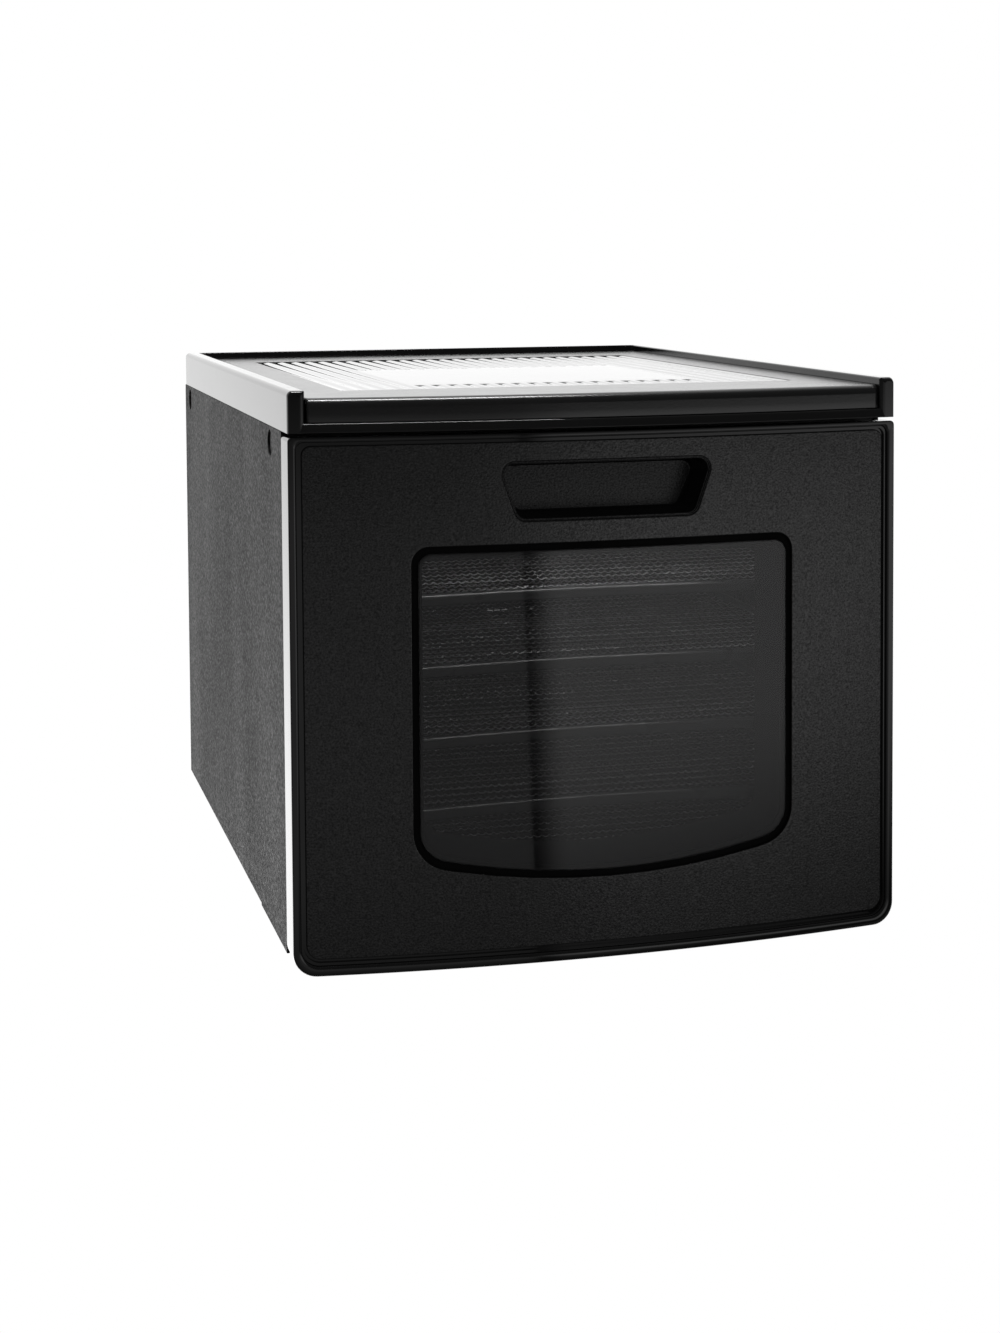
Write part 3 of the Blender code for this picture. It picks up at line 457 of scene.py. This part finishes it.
# ---------------------------------------------------------------- lid
NOSE_DEPTH = 0.0026                     # the rails' front ends are rounded over this depth
NOSE_OUTER = 0.0010                     # their front faces are this much narrower on the outside
NOSE_INNER = 0.0036                     # and on the inside
NOSE_DROP = 0.0022                      # and this much lower
DECK_GAP = 0.0009                       # the dark line between the rails and the deck
RIB_HALF = 0.1333                       # the ribbed panel: half its width, its front and its back
RIB_FRONT = CORNER_Y + 0.0566
RIB_BACK = CORNER_Y + 0.3757
FLAT_HALF = 0.0876                      # the plain rectangle in the ribs
FLAT_FRONT = CORNER_Y + 0.0915
FLAT_BACK = CORNER_Y + 0.2558
RIBS = 28
SLACK = 0.0001                          # room when a vertex is compared with a line it lies on


def rail_path(inset, front):
    """From the left front end round the back to the right front end, at an inset from outside."""
    half = HALF - inset
    back = REAR_Y - inset
    radius = max(0.0012, 0.0050 - inset * 0.4)
    left = [(-half, y) for y in spread(front, back - radius, 24)]
    corner = [(-half + radius - radius * math.cos(a), back - radius + radius * math.sin(a))
              for a in quarter_turn(ARC)[1:-1]]
    start = left + corner
    middle = spread(-half + radius, half - radius, 24)
    return start + [(x, back) for x in middle] + [(-x, y) for x, y in reversed(start)]


def rail_profile(share):
    """(inset, height) round the rail's section; share 1 is the small face at its front end."""
    top = RAIL_TOP - NOSE_DROP * share
    outer = 0.0030 - 0.0006 * share
    inner = 0.0007 + 0.0010 * share
    low, high = NOSE_OUTER * share, RAIL_WIDTH - NOSE_INNER * share
    points = [(low, LID_BOTTOM), (low, top - outer)]
    for angle in quarter_turn(ARC)[1:]:
        points.append((low + outer * (1 - math.cos(angle)), top - outer * (1 - math.sin(angle))))
    for angle in quarter_turn(ARC):
        points.append((high - inner * (1 - math.sin(angle)), top - inner * (1 - math.cos(angle))))
    points += [(high, LID_TOP - 0.003), (high, LID_BOTTOM)]
    return points


def make_lid_frame():
    """Rails on three sides whose front ends are rounded posts, with a strip between them."""
    shape = bmesh.new()
    count = len(rail_path(0, 0))
    steps = 10
    stations = [(0, 1 - math.sin(angle), NOSE_DEPTH * (1 - math.cos(angle)))
                for angle in quarter_turn(steps)[:-1]]
    stations += [(i, 0.0, None) for i in range(1, count - 1)]
    stations += [(count - 1, share, ahead) for _, share, ahead in reversed(stations[:steps])]
    rings = []
    for index, share, ahead in stations:
        ring = []
        for inset, z in rail_profile(share):
            x, y = rail_path(inset, CORNER_Y + NOSE_DEPTH)[index]
            if ahead is not None:
                y = front_y(x, ahead)
            ring.append(shape.verts.new((x, y, z)))
        rings.append(ring)
    strip_faces(shape, rings)
    shape.faces.new(rings[0])
    shape.faces.new(rings[-1][::-1])
    add_strip(shape)
    new_piece("lid_rails", shape, "gloss_black", "case", "gloss_black", "top_cover", sharp=50)


def add_strip(shape):
    """The lid's lower front strip, from post to post."""
    reach = HALF - 0.0035
    deep = 0.006
    edge = 0.0005
    top_edge = 0.0012
    lean = 0.0004
    section = [(deep, LID_BOTTOM), (edge, LID_BOTTOM)]
    for angle in quarter_turn(4)[1:]:
        section.append((edge * (1 - math.sin(angle)), LID_BOTTOM + edge * (1 - math.cos(angle))))
    for angle in quarter_turn(4):
        section.append((lean + top_edge * (1 - math.cos(angle)),
                        STRIP_TOP - top_edge * (1 - math.sin(angle))))
    section.append((deep, STRIP_TOP))
    rings = [[shape.verts.new((x, front_y(x, depth), z)) for depth, z in section]
             for x in spread(-reach, reach, COLUMNS)]
    strip_faces(shape, rings)
    shape.faces.new(rings[0])
    shape.faces.new(rings[-1][::-1])


def make_lid_deck():
    """The satin front band and deck, one skin over a rounded edge, with a hole for the insert."""
    shape = bmesh.new()
    reach = HALF - RAIL_WIDTH - DECK_GAP
    band_setback = 0.0017
    edge = 0.0050
    lip = 0.0012
    margin_rows, rib_rows = 6, 24
    band_low = STRIP_TOP + 0.0006
    xs = sorted(set(spread(-reach, -RIB_HALF, 16) + spread(-RIB_HALF, RIB_HALF, 72)
                    + spread(RIB_HALF, reach, 16)))
    back = REAR_Y - RAIL_WIDTH - DECK_GAP
    rows = spread(0, 1, margin_rows)
    columns = []
    for x in xs:
        face = front_y(x, band_setback)
        points = [(face + 0.004, STRIP_TOP - 0.002), (face + 0.0004, STRIP_TOP + 0.0001),
                  (face, band_low)]
        points += [(face, band_low + (LID_TOP - edge - STRIP_TOP - 0.0006) * t) for t in (0.5, 1)]
        points += [(face + edge * (1 - math.cos(a)), LID_TOP - edge + edge * math.sin(a))
                   for a in quarter_turn(12)[1:]]
        points += [(face + edge + (RIB_FRONT - face - edge) * t, LID_TOP) for t in rows[1:]]
        points += [(RIB_FRONT + (RIB_BACK - RIB_FRONT) * t, LID_TOP)
                   for t in spread(0, 1, rib_rows)[1:]]
        points += [(RIB_BACK + (back - RIB_BACK) * t, LID_TOP) for t in rows[1:]]
        columns.append([shape.verts.new((x, y, z)) for y, z in points])
    hole_end = len(points) - margin_rows - 1
    hole_rows = range(hole_end - rib_rows, hole_end)
    for i, (left, right) in enumerate(zip(columns, columns[1:])):
        inside = abs(xs[i] + xs[i + 1]) / 2 < RIB_HALF
        for j in range(len(points) - 1):
            if inside and j in hole_rows:
                continue
            shape.faces.new((left[j], right[j], right[j + 1], left[j + 1]))
    rim = [e for e in shape.edges if e.is_boundary and all(
        abs(v.co.x) < RIB_HALF + SLACK and RIB_FRONT - SLACK < v.co.y < RIB_BACK + SLACK
        for v in e.verts)]
    lowered = bmesh.ops.extrude_edge_only(shape, edges=rim)["geom"]
    for vertex in [g for g in lowered if isinstance(g, bmesh.types.BMVert)]:
        vertex.co.z -= lip
    thicken(new_piece("lid_deck", shape, "deck_black", "case", "satin_black", sharp=40), 0.0015)


def make_lid_insert():
    """The polished ribbed panel with a plain rectangle in its middle."""
    shape = bmesh.new()
    crest = LID_TOP - 0.00015
    height = 0.0004
    pitch = 2 * RIB_HALF / RIBS
    per_rib = 10
    xs = spread(-RIB_HALF, RIB_HALF, RIBS * per_rib)
    end = 0.0006
    ys = [RIB_FRONT, RIB_FRONT + end, RIB_FRONT + 0.012, FLAT_FRONT - end, FLAT_FRONT]
    ys += spread(FLAT_FRONT, FLAT_BACK, 10)[1:] + [FLAT_BACK + end]
    ys += spread(FLAT_BACK + end, RIB_BACK - end, 8)[1:] + [RIB_BACK]
    edge_x = round(FLAT_HALF / pitch) * pitch

    def height_at(x, y):
        in_flat = abs(x) < edge_x + 0.00001 and FLAT_FRONT - 0.00001 < y < FLAT_BACK + 0.00001
        wave = 0.5 - 0.5 * math.cos(2 * math.pi * (x + RIB_HALF) / pitch)
        at_end = y in (ys[0], ys[-1])
        return crest if in_flat or at_end else crest - height * wave

    rings = [[shape.verts.new((x, y, height_at(x, y))) for y in ys] for x in xs]
    strip_faces(shape, rings, closed=False)
    thicken(new_piece("lid_insert", shape, "insert_gloss", "case", "gloss_black", sharp=30), 0.0010)


def make_lid_floor():
    """The lid's flat underside."""
    inset = 0.0012
    outline = [(x, front_y(x, 0.0015)) for x in spread(-HALF + inset, HALF - inset, COLUMNS)]
    outline += [(HALF - inset, REAR_Y - inset), (-HALF + inset, REAR_Y - inset)]
    shape = bmesh.new()
    rings = [[shape.verts.new((x, y, z)) for x, y in outline]
             for z in (LID_BOTTOM + 0.0004, LID_BOTTOM + 0.0026)]
    strip_faces(shape, rings)
    shape.faces.new(rings[0])
    shape.faces.new(rings[1])
    new_piece("lid_underside", shape, "satin_black", "case", "satin_black")


# ---------------------------------------------------------------- door
PANEL_DEPTH = 0.0019                    # the satin face lies this far behind the rim's
RIM_SIDE = 0.0077                       # the glossy rim's width on the sides, bottom and top
RIM_LOW = 0.0090
RIM_TOP = 0.0051
FACE_TOP_RADIUS = 0.005
FACE_LOW_RADIUS = 0.0075


def make_door_rim():
    """The glossy rim: a small outer corner, a round inner shoulder, then a ledge and a groove."""
    outer = door_outline(HALF, DOOR_BOTTOM, DOOR_TOP, 0.0025, 0.0125)
    inner = door_outline(HALF - RIM_SIDE, DOOR_BOTTOM + RIM_LOW, DOOR_TOP - RIM_TOP,
                         FACE_TOP_RADIUS, FACE_LOW_RADIUS)
    corner = 0.0008
    lip = 0.0046
    fall = 0.0022
    ledge = 0.0012
    bottom = 0.0036
    across = RIM_SIDE
    profile = [(0, None)]
    profile += [(corner * (1 - math.cos(a)) / across, corner * (1 - math.sin(a)))
                for a in quarter_turn(4)]
    profile += [((lip - fall + fall * math.sin(a)) / across, fall * (1 - math.cos(a)))
                for a in quarter_turn(8)]
    profile += [((lip + ledge) / across, fall), ((lip + ledge) / across, bottom), (1.0, bottom),
                (1.0, None)]
    bowed_ring("door_rim", outer, inner, profile, "gloss_black", "door", "gloss_black",
               "door_frame")


def make_door_face():
    """The satin panel inside the rim, with holes for the window and the finger recess."""
    under_rim = 0.0004
    outer = door_outline(HALF - RIM_SIDE + under_rim, DOOR_BOTTOM + RIM_LOW - under_rim,
                         DOOR_TOP - RIM_TOP + 0.0003, FACE_TOP_RADIUS, FACE_LOW_RADIUS)
    outlines = (outer, window_outline(0), handle_outline(0, 0, 0))
    loops = [subdivide(loop, 0.006) for loop in outlines]
    bowed_plate("door_face", loops, PANEL_DEPTH, 0.0030, 0.0006, "satin_black", "door",
                "satin_black", "door_panel")


def make_window():
    """The rubber seal, a ring with a groove, and the smoked pane that sits in it."""
    groove = [(0, 0.0026), (0, 0.0046), (1, 0.0046), (1, 0.0062), (0, 0.0062)]
    bowed_ring("window_seal", window_outline(-0.0006), window_outline(0.0060), groove,
               "black_rubber", "door", "black_rubber", "window_gasket")
    pane = subdivide(window_outline(0.0036), 0.006)
    bowed_plate("pane", [pane], PANEL_DEPTH - 0.0002, 0.0026, 0.0007, "smoked_clear", "door",
                "smoked_clear", "window_pane")


def make_handle():
    """The finger recess: a rolled edge, sloping walls and a flat grained floor."""
    floor_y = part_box("handle_cup")[1].y - 0.002
    rim = handle_outline(0.0001, 0.0001, 0.0001)
    floor = handle_outline(0.0052, 0.0046, 0.0040)
    first, second = matched(rim, floor, 0.006)
    shape = bmesh.new()
    lip_depth = 0.0026
    fillet_share, fillet_depth = 0.70, 0.78     # where the wall starts to round into the floor
    sections = [(0, 0.0046), (0, 0.0030), (0.02, lip_depth), (0.06, lip_depth)]
    rings = []
    for share, depth in sections:
        rings.append([shape.verts.new((p.x, front_y(p.x, depth), p.y))
                      for p in (a.lerp(b, share) for a, b in zip(first, second))])
    for angle in quarter_turn(8):
        share = fillet_share + 0.30 * (1 - math.cos(angle))
        ring = []
        for a, b in zip(first, second):
            p = a.lerp(b, share)
            lip_y = front_y(p.x, lip_depth)
            y = lip_y + (floor_y - lip_y) * (fillet_depth + 0.22 * math.sin(angle))
            ring.append(shape.verts.new((p.x, y, p.y)))
        rings.append(ring)
    strip_faces(shape, rings)
    shape.faces.new(rings[-1])
    obj = new_piece("finger_recess", shape, "cup_black", "door", "satin_black", "handle_cup",
                    sharp=60)
    thicken(obj, 0.0012)


# ---------------------------------------------------------------- trays
TRAYS = 6
TRAY_GRIP = 0.009                       # the front edge curves in this far for the fingers
TRAY_BAR = 0.006                        # width of the rim
CROWN = 0.0028                          # height of the rim's rounded top
FRONT_DIP = 0.0022                      # the front bar is this much lower than the sides
NET_WAVE = 0.0047                       # length of one wave of a raised strand
NET_ROWS = 21                           # raised strands in a tray's net


def tray_outline(low, high, inset):
    """The tray's outline: rounded back corners and a front edge that curves in for the fingers."""
    half = high.x - inset
    front = low.y + inset
    back = high.y - inset
    points = []
    for x in spread(-half, half, 40):
        points.append((x, front + TRAY_GRIP * (0.5 + 0.5 * math.cos(math.pi * x / high.x))))
    radius = 0.004
    for side, start in ((1, 0), (-1, 1)):
        for k in range(6):
            angle = math.pi / 2 * (start + k / 5)
            points.append((side * (half - radius) + radius * math.cos(angle),
                           back - radius + radius * math.sin(angle)))
    return points


def make_tray_frame(number):
    """Rounded rim, with ribs under the net."""
    node = "tray_frame_%d" % number
    low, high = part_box(node)
    bar = TRAY_BAR
    chamfer = 0.001
    shoulder = high.z - CROWN
    shape = bmesh.new()
    section = [(0, low.z + chamfer), (chamfer, low.z), (bar - chamfer, low.z),
               (bar, low.z + chamfer), (bar, shoulder)]
    for k in range(1, 9):
        angle = math.pi * k / 9
        section.append((bar / 2 + bar / 2 * math.cos(angle), shoulder + CROWN * math.sin(angle)))
    section.append((0, shoulder))
    rings = []
    for inset, z in section:
        ring = []
        for x, y in tray_outline(low, high, inset):
            near_front = max(0.0, 1 - (y - low.y) / 0.035)
            lowered = FRONT_DIP * min(1.0, 1.6 * near_front) if z > low.z + 0.0015 else 0.0
            ring.append(shape.verts.new((x, y, z - lowered)))
        rings.append(ring)
    strip_faces(shape, rings, ends=True)
    reach = high.x - bar / 2
    rib = 0.0019
    for x in (-0.052, 0.052):
        z = low.z + 0.0021
        add_bar(shape, (x, low.y + TRAY_GRIP + bar - 0.001, z), (x, high.y - bar / 2, z), rib)
    for deep in (0.110, 0.215):
        y, z = low.y + deep, low.z + 0.0022
        add_bar(shape, (-reach, y, z), (reach, y, z), rib)
    new_piece("tray_rim_%d" % number, shape, "tray_black", "tray_%d" % number, "tray_black", node)


def add_bar(shape, start, end, radius, sides=8):
    """A straight round bar between two points that don't stand above each other."""
    start, end = Vector(start), Vector(end)
    along = (end - start).normalized()
    side = along.cross(Vector((0, 0, 1))).normalized()
    rings = []
    for centre in (start, end):
        rings.append([shape.verts.new(centre + side * radius * math.cos(a)
                                      + Vector((0, 0, 1)) * radius * math.sin(a))
                      for a in [2 * math.pi * (k + 0.5) / sides for k in range(sides)]])
    strip_faces(shape, rings)
    shape.faces.new(rings[0])
    shape.faces.new(rings[1][::-1])


def make_net(number):
    """A moulded net: raised wavy strands across the tray over a straight fine grid; the strands are
    coloured light grey as a painted highlight of their glints.
    """
    node = "tray_mesh_%d" % number
    body = "tray_%d" % number
    low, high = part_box(node)
    sway, lift, ripple = 0.0013, 0.0008, 0.0006     # a strand's sideways wave, height and rise
    row_radius, long_radius, cross_radius = 0.00042, 0.00035, 0.0003
    long_lead, cross_lead = 0.007, 0.006            # the grid runs this far ahead of the strands
    edge = 0.001
    half = high.x - edge
    z = low.z + 0.0004
    front = low.y + TRAY_GRIP
    back = high.y - edge
    waves = int(2 * half / NET_WAVE)
    shape = bmesh.new()
    for row in range(NET_ROWS):
        y = front + (back - front) * (row + 0.5) / NET_ROWS
        points = []
        for k in range(waves * 4 + 1):
            phase = 2 * math.pi * (k / 4 + (0.5 if row % 2 else 0))
            x = -half + 2 * half * k / (waves * 4)
            points.append(Vector((x, y + sway * math.sin(phase), z + lift + ripple * math.cos(phase))))
        add_strand(shape, points, row_radius)
    # the raised strands take the light grey finish, a painted highlight
    new_piece("net_rows_%d" % number, shape, "net_crest_painted_highlight", body, "mesh_dark", node, sharp=80)
    shape = bmesh.new()
    for k in range(waves + 1):
        x = -half + 2 * half * k / waves
        add_strand(shape, [Vector((x, front - long_lead, z)), Vector((x, back, z))], long_radius)
    between = NET_ROWS * 2
    for row in range(between):
        y = front - cross_lead + (back - front + cross_lead) * (row + 0.5) / between
        add_strand(shape, [Vector((-half, y, z)), Vector((half, y, z))], cross_radius)
    new_piece("net_grid_%d" % number, shape, "net_grid", body, "mesh_dark", sharp=80)


def add_strand(shape, points, radius):
    """A thin three-sided strand along points that lie nearly flat."""
    rings = []
    for i, here in enumerate(points):
        ahead = points[min(i + 1, len(points) - 1)] - points[max(i - 1, 0)]
        side = ahead.cross(Vector((0, 0, 1))).normalized()
        rings.append([shape.verts.new(here + side * radius * 0.9 - Vector((0, 0, radius * 0.5))),
                      shape.verts.new(here + Vector((0, 0, radius))),
                      shape.verts.new(here - side * radius * 0.9 - Vector((0, 0, radius * 0.5)))])
    strip_faces(shape, rings)
    shape.faces.new(rings[0])
    shape.faces.new(rings[-1][::-1])


# ---------------------------------------------------------------- rest of the case
def make_case_skins():
    """The CAD's own shapes with soft edges: the case, the rear, and what is inside."""
    edge, thin_edge, screw_edge = 0.0004, 0.00015, 0.0001
    plain = {
        "side_panel_left": "grained_black", "side_panel_right": "grained_black",
        "base_pan": "satin_black", "rear_panel": "satin_black", "front_bezel": "deck_black",
        "tray_guide_left": "tray_black", "tray_guide_right": "tray_black",
        "door_inner": "satin_black", "rear_baffle": "plated_steel",
        "switch_housing": "satin_black", "power_inlet": "satin_black",
        "thermostat_knob": "satin_black", "switch_rocker": "gloss_black",
        "impeller": "tray_black", "fan_motor": "motor_steel", "motor_bracket": "plated_steel",
        "thermostat_body": "white_ceramic", "heater_frame": "plated_steel",
        "strike_plate_left": "plated_steel", "strike_plate_right": "plated_steel",
        "door_magnet_left": "motor_steel", "door_magnet_right": "motor_steel",
    }
    for node, material in plain.items():
        thin = node in ("impeller", "rear_baffle", "heater_frame", "motor_bracket")
        soften(node, material, thin_edge if thin else edge)
    for place in ("front", "rear"):
        for side in ("left", "right"):
            soften("foot_%s_%s" % (place, side), "black_rubber", edge)
            soften("side_plug_%s_%s" % (side, place), "grained_black", thin_edge)
    for number in range(1, 5):
        soften("rear_screw_%d" % number, "plated_steel", screw_edge)
    kept = {"thermal_fuse": "white_ceramic", "heater_coil": "heater_wire", "mains_lead": "lead_grey",
            "heater_lead": "lead_grey", "fan_shaft": "plated_steel",
            "thermostat_shaft": "plated_steel"}
    for node, material in kept.items():
        soften(node, material, 0)


def make_dial_marks():
    """Ticks round the thermostat knob and a pointer line on it."""
    low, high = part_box("thermostat_knob")
    centre = (low + high) / 2
    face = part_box("rear_panel")[1].y
    middle = Vector((centre.x, face, centre.z))
    shape = bmesh.new()
    marks = 10
    radius = 0.0212
    for k in range(marks + 1):
        angle = math.radians(-135 + 270 * k / marks)
        out = Vector((math.sin(angle), 0, math.cos(angle)))
        long = 0.0042 if k % 5 == 0 else 0.0026
        add_bar(shape, middle + out * radius, middle + out * (radius + long), 0.00035, 4)
    new_piece("dial_ticks", shape, "tick_white", "case", "white_ceramic")
    shape = bmesh.new()
    top = high.y - 0.00005
    add_bar(shape, (centre.x, top, centre.z + 0.005), (centre.x, top, centre.z + 0.013), 0.0005, 4)
    new_piece("dial_pointer", shape, "tick_white", "thermostat_dial", "white_ceramic")


# ---------------------------------------------------------------- studio
FRONT_LIGHT = 0.10                      # the room's strength in front of the object
BACK_LIGHT = 1.65                       # and behind it
FLOOR_GAIN = 1.7                        # light from below, for the white floor, is this much stronger


def make_studio():
    """A white room for the camera, a graded one for the light, and the lamps, cards and floor."""
    scene = bpy.context.scene
    scene.view_settings.view_transform = "Standard"
    world = bpy.data.worlds.new("studio")
    scene.world = world
    world.use_nodes = True
    nodes, links = world.node_tree.nodes, world.node_tree.links
    nodes.clear()
    output = nodes.new("ShaderNodeOutputWorld")
    seen = nodes.new("ShaderNodeBackground")
    seen.inputs["Color"].default_value = (1, 1, 1, 1)
    lighting = nodes.new("ShaderNodeBackground")
    mix = nodes.new("ShaderNodeMixShader")
    path = nodes.new("ShaderNodeLightPath")
    direction = nodes.new("ShaderNodeTexCoord")
    split = nodes.new("ShaderNodeSeparateXYZ")
    links.new(direction.outputs["Generated"], split.inputs["Vector"])
    behind = smooth_step(nodes, links, split.outputs["Y"], -0.25, 0.70, FRONT_LIGHT, BACK_LIGHT)
    below = smooth_step(nodes, links, split.outputs["Z"], -0.04, -0.30, 1.0, FLOOR_GAIN)
    links.new(multiply(nodes, links, behind, below), lighting.inputs["Strength"])
    links.new(path.outputs["Is Camera Ray"], mix.inputs["Fac"])
    links.new(lighting.outputs["Background"], mix.inputs[1])
    links.new(seen.outputs["Background"], mix.inputs[2])
    links.new(mix.outputs["Shader"], output.inputs["Surface"])
    make_floor()
    make_cards()
    area_light("overhead", (-0.1, CORNER_Y + 0.04, 1.15), (-0.1, CORNER_Y + 0.04, 0), 0.60, 0.10, 8)
    fill = area_light("front_fill", (0, CORNER_Y - 1.6, 0.75), (0, CORNER_Y, 0.15), 1.0, 1.0, 9)
    fill.visible_glossy = False
    slot_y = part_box("tray_frame_1")[0].y - 0.006
    slot_z = DOOR_BOTTOM + 0.262
    area_light("behind_door", (0, slot_y, slot_z), (0, slot_y + 0.004, 0), 0.17, 0.006, 0.17)


def glowing_sheet(name, size):
    """A bright flat sheet that lights no surface and casts no shadow; returns its nodes too."""
    shape = bmesh.new()
    bmesh.ops.create_grid(shape, x_segments=1, y_segments=1, size=size)
    mesh = bpy.data.meshes.new(name)
    shape.to_mesh(mesh)
    shape.free()
    sheet = bpy.data.objects.new(name, mesh)
    bpy.context.scene.collection.objects.link(sheet)
    sheet.visible_diffuse = False
    sheet.visible_shadow = False
    material = bpy.data.materials.new(name)
    material.use_nodes = True
    nodes, links = material.node_tree.nodes, material.node_tree.links
    nodes.clear()
    output = nodes.new("ShaderNodeOutputMaterial")
    glow = nodes.new("ShaderNodeEmission")
    links.new(glow.outputs["Emission"], output.inputs["Surface"])
    mesh.materials.append(material)
    return sheet, nodes, links, glow


def make_floor():
    """A white floor that only the camera sees; the world stands for it in reflections."""
    floor = glowing_sheet("studio_floor", 8)[0]
    floor.visible_glossy = False


def make_cards():
    """Two soft cards in front of the door: a bright one to the right and a dim one to the left."""
    plane = CORNER_Y - 0.60
    make_card("right_card", (0.485, plane, 0.05), 0.84, 0.60, 6, 0.85, (0.07, 0.02, 0.45, 0.30))
    make_card("left_card", (-0.214, plane, 0.02), 0.56, 0.62, 6, 0.33, (0.02, 0.004, 0.30, 0.30))


def make_card(name, place, width, height, lean, strength, fades):
    """A white card that only reflections see, its sides leaning by degrees from upright.

    fades are its soft left, right, low and top shares.
    """
    card, nodes, links, glow = glowing_sheet(name, 0.5)
    card.visible_camera = False
    shear = Matrix.Identity(4)
    shear[0][2] = -math.tan(math.radians(lean))
    stand = Matrix.Rotation(math.radians(90), 4, "X") @ Matrix.Diagonal((width, height, 1, 1))
    card.matrix_world = Matrix.Translation(place) @ shear @ stand
    spot = nodes.new("ShaderNodeTexCoord")
    split = nodes.new("ShaderNodeSeparateXYZ")
    links.new(spot.outputs["Object"], split.inputs["Vector"])
    last = None
    for axis, side, fade in zip("XXYY", (-0.5, 0.5, -0.5, 0.5), fades):
        full = strength if last is None else 1
        soft = smooth_step(nodes, links, split.outputs[axis], side,
                           side - math.copysign(fade, side), 0, full)
        last = soft if last is None else multiply(nodes, links, last, soft)
    links.new(last, glow.inputs["Strength"])


def area_light(name, place, target, width, depth, power):
    """A rectangular lamp of a power in watts that faces its target and isn't seen itself."""
    data = bpy.data.lights.new(name, "AREA")
    data.shape = "RECTANGLE"
    data.size = width
    data.size_y = depth
    data.energy = power
    light = bpy.data.objects.new(name, data)
    bpy.context.scene.collection.objects.link(light)
    light.location = place
    light.rotation_mode = "QUATERNION"
    light.rotation_quaternion = (Vector(target) - Vector(place)).to_track_quat("-Z", "Y")
    light.visible_camera = False
    return light


def make_camera():
    """At the left front, a little above the lid; its frame is shifted down, below the object."""
    data = bpy.data.cameras.new("camera")
    data.lens = 59.42
    data.sensor_width = 36
    data.shift_x = -0.0091
    data.shift_y = -0.22
    data.clip_start = 0.05
    data.clip_end = 30
    camera = bpy.data.objects.new("camera", data)
    bpy.context.scene.collection.objects.link(camera)
    yaw, pitch, roll = math.radians(15.10), math.radians(3.27), math.radians(-0.355)
    ahead = Vector((math.sin(yaw) * math.cos(pitch), math.cos(yaw) * math.cos(pitch),
                    -math.sin(pitch)))
    right = Vector((math.cos(yaw), -math.sin(yaw), 0))
    up = right.cross(ahead)
    tilted_right = right * math.cos(roll) + up * math.sin(roll)
    tilted_up = up * math.cos(roll) - right * math.sin(roll)
    place = Vector((-0.3575, CORNER_Y - 1.1377, DOOR_BOTTOM + 0.3861))
    axes = Matrix((tilted_right, tilted_up, -ahead)).transposed()
    camera.matrix_world = Matrix.Translation(place) @ axes.to_4x4()
    bpy.context.scene.camera = camera


# ---------------------------------------------------------------- everything
make_camera()
make_materials()
make_lid_frame()
make_lid_deck()
make_lid_insert()
make_lid_floor()
make_door_rim()
make_door_face()
make_window()
make_handle()
for tray in range(1, TRAYS + 1):
    make_tray_frame(tray)
    make_net(tray)
make_case_skins()
make_dial_marks()
make_studio()
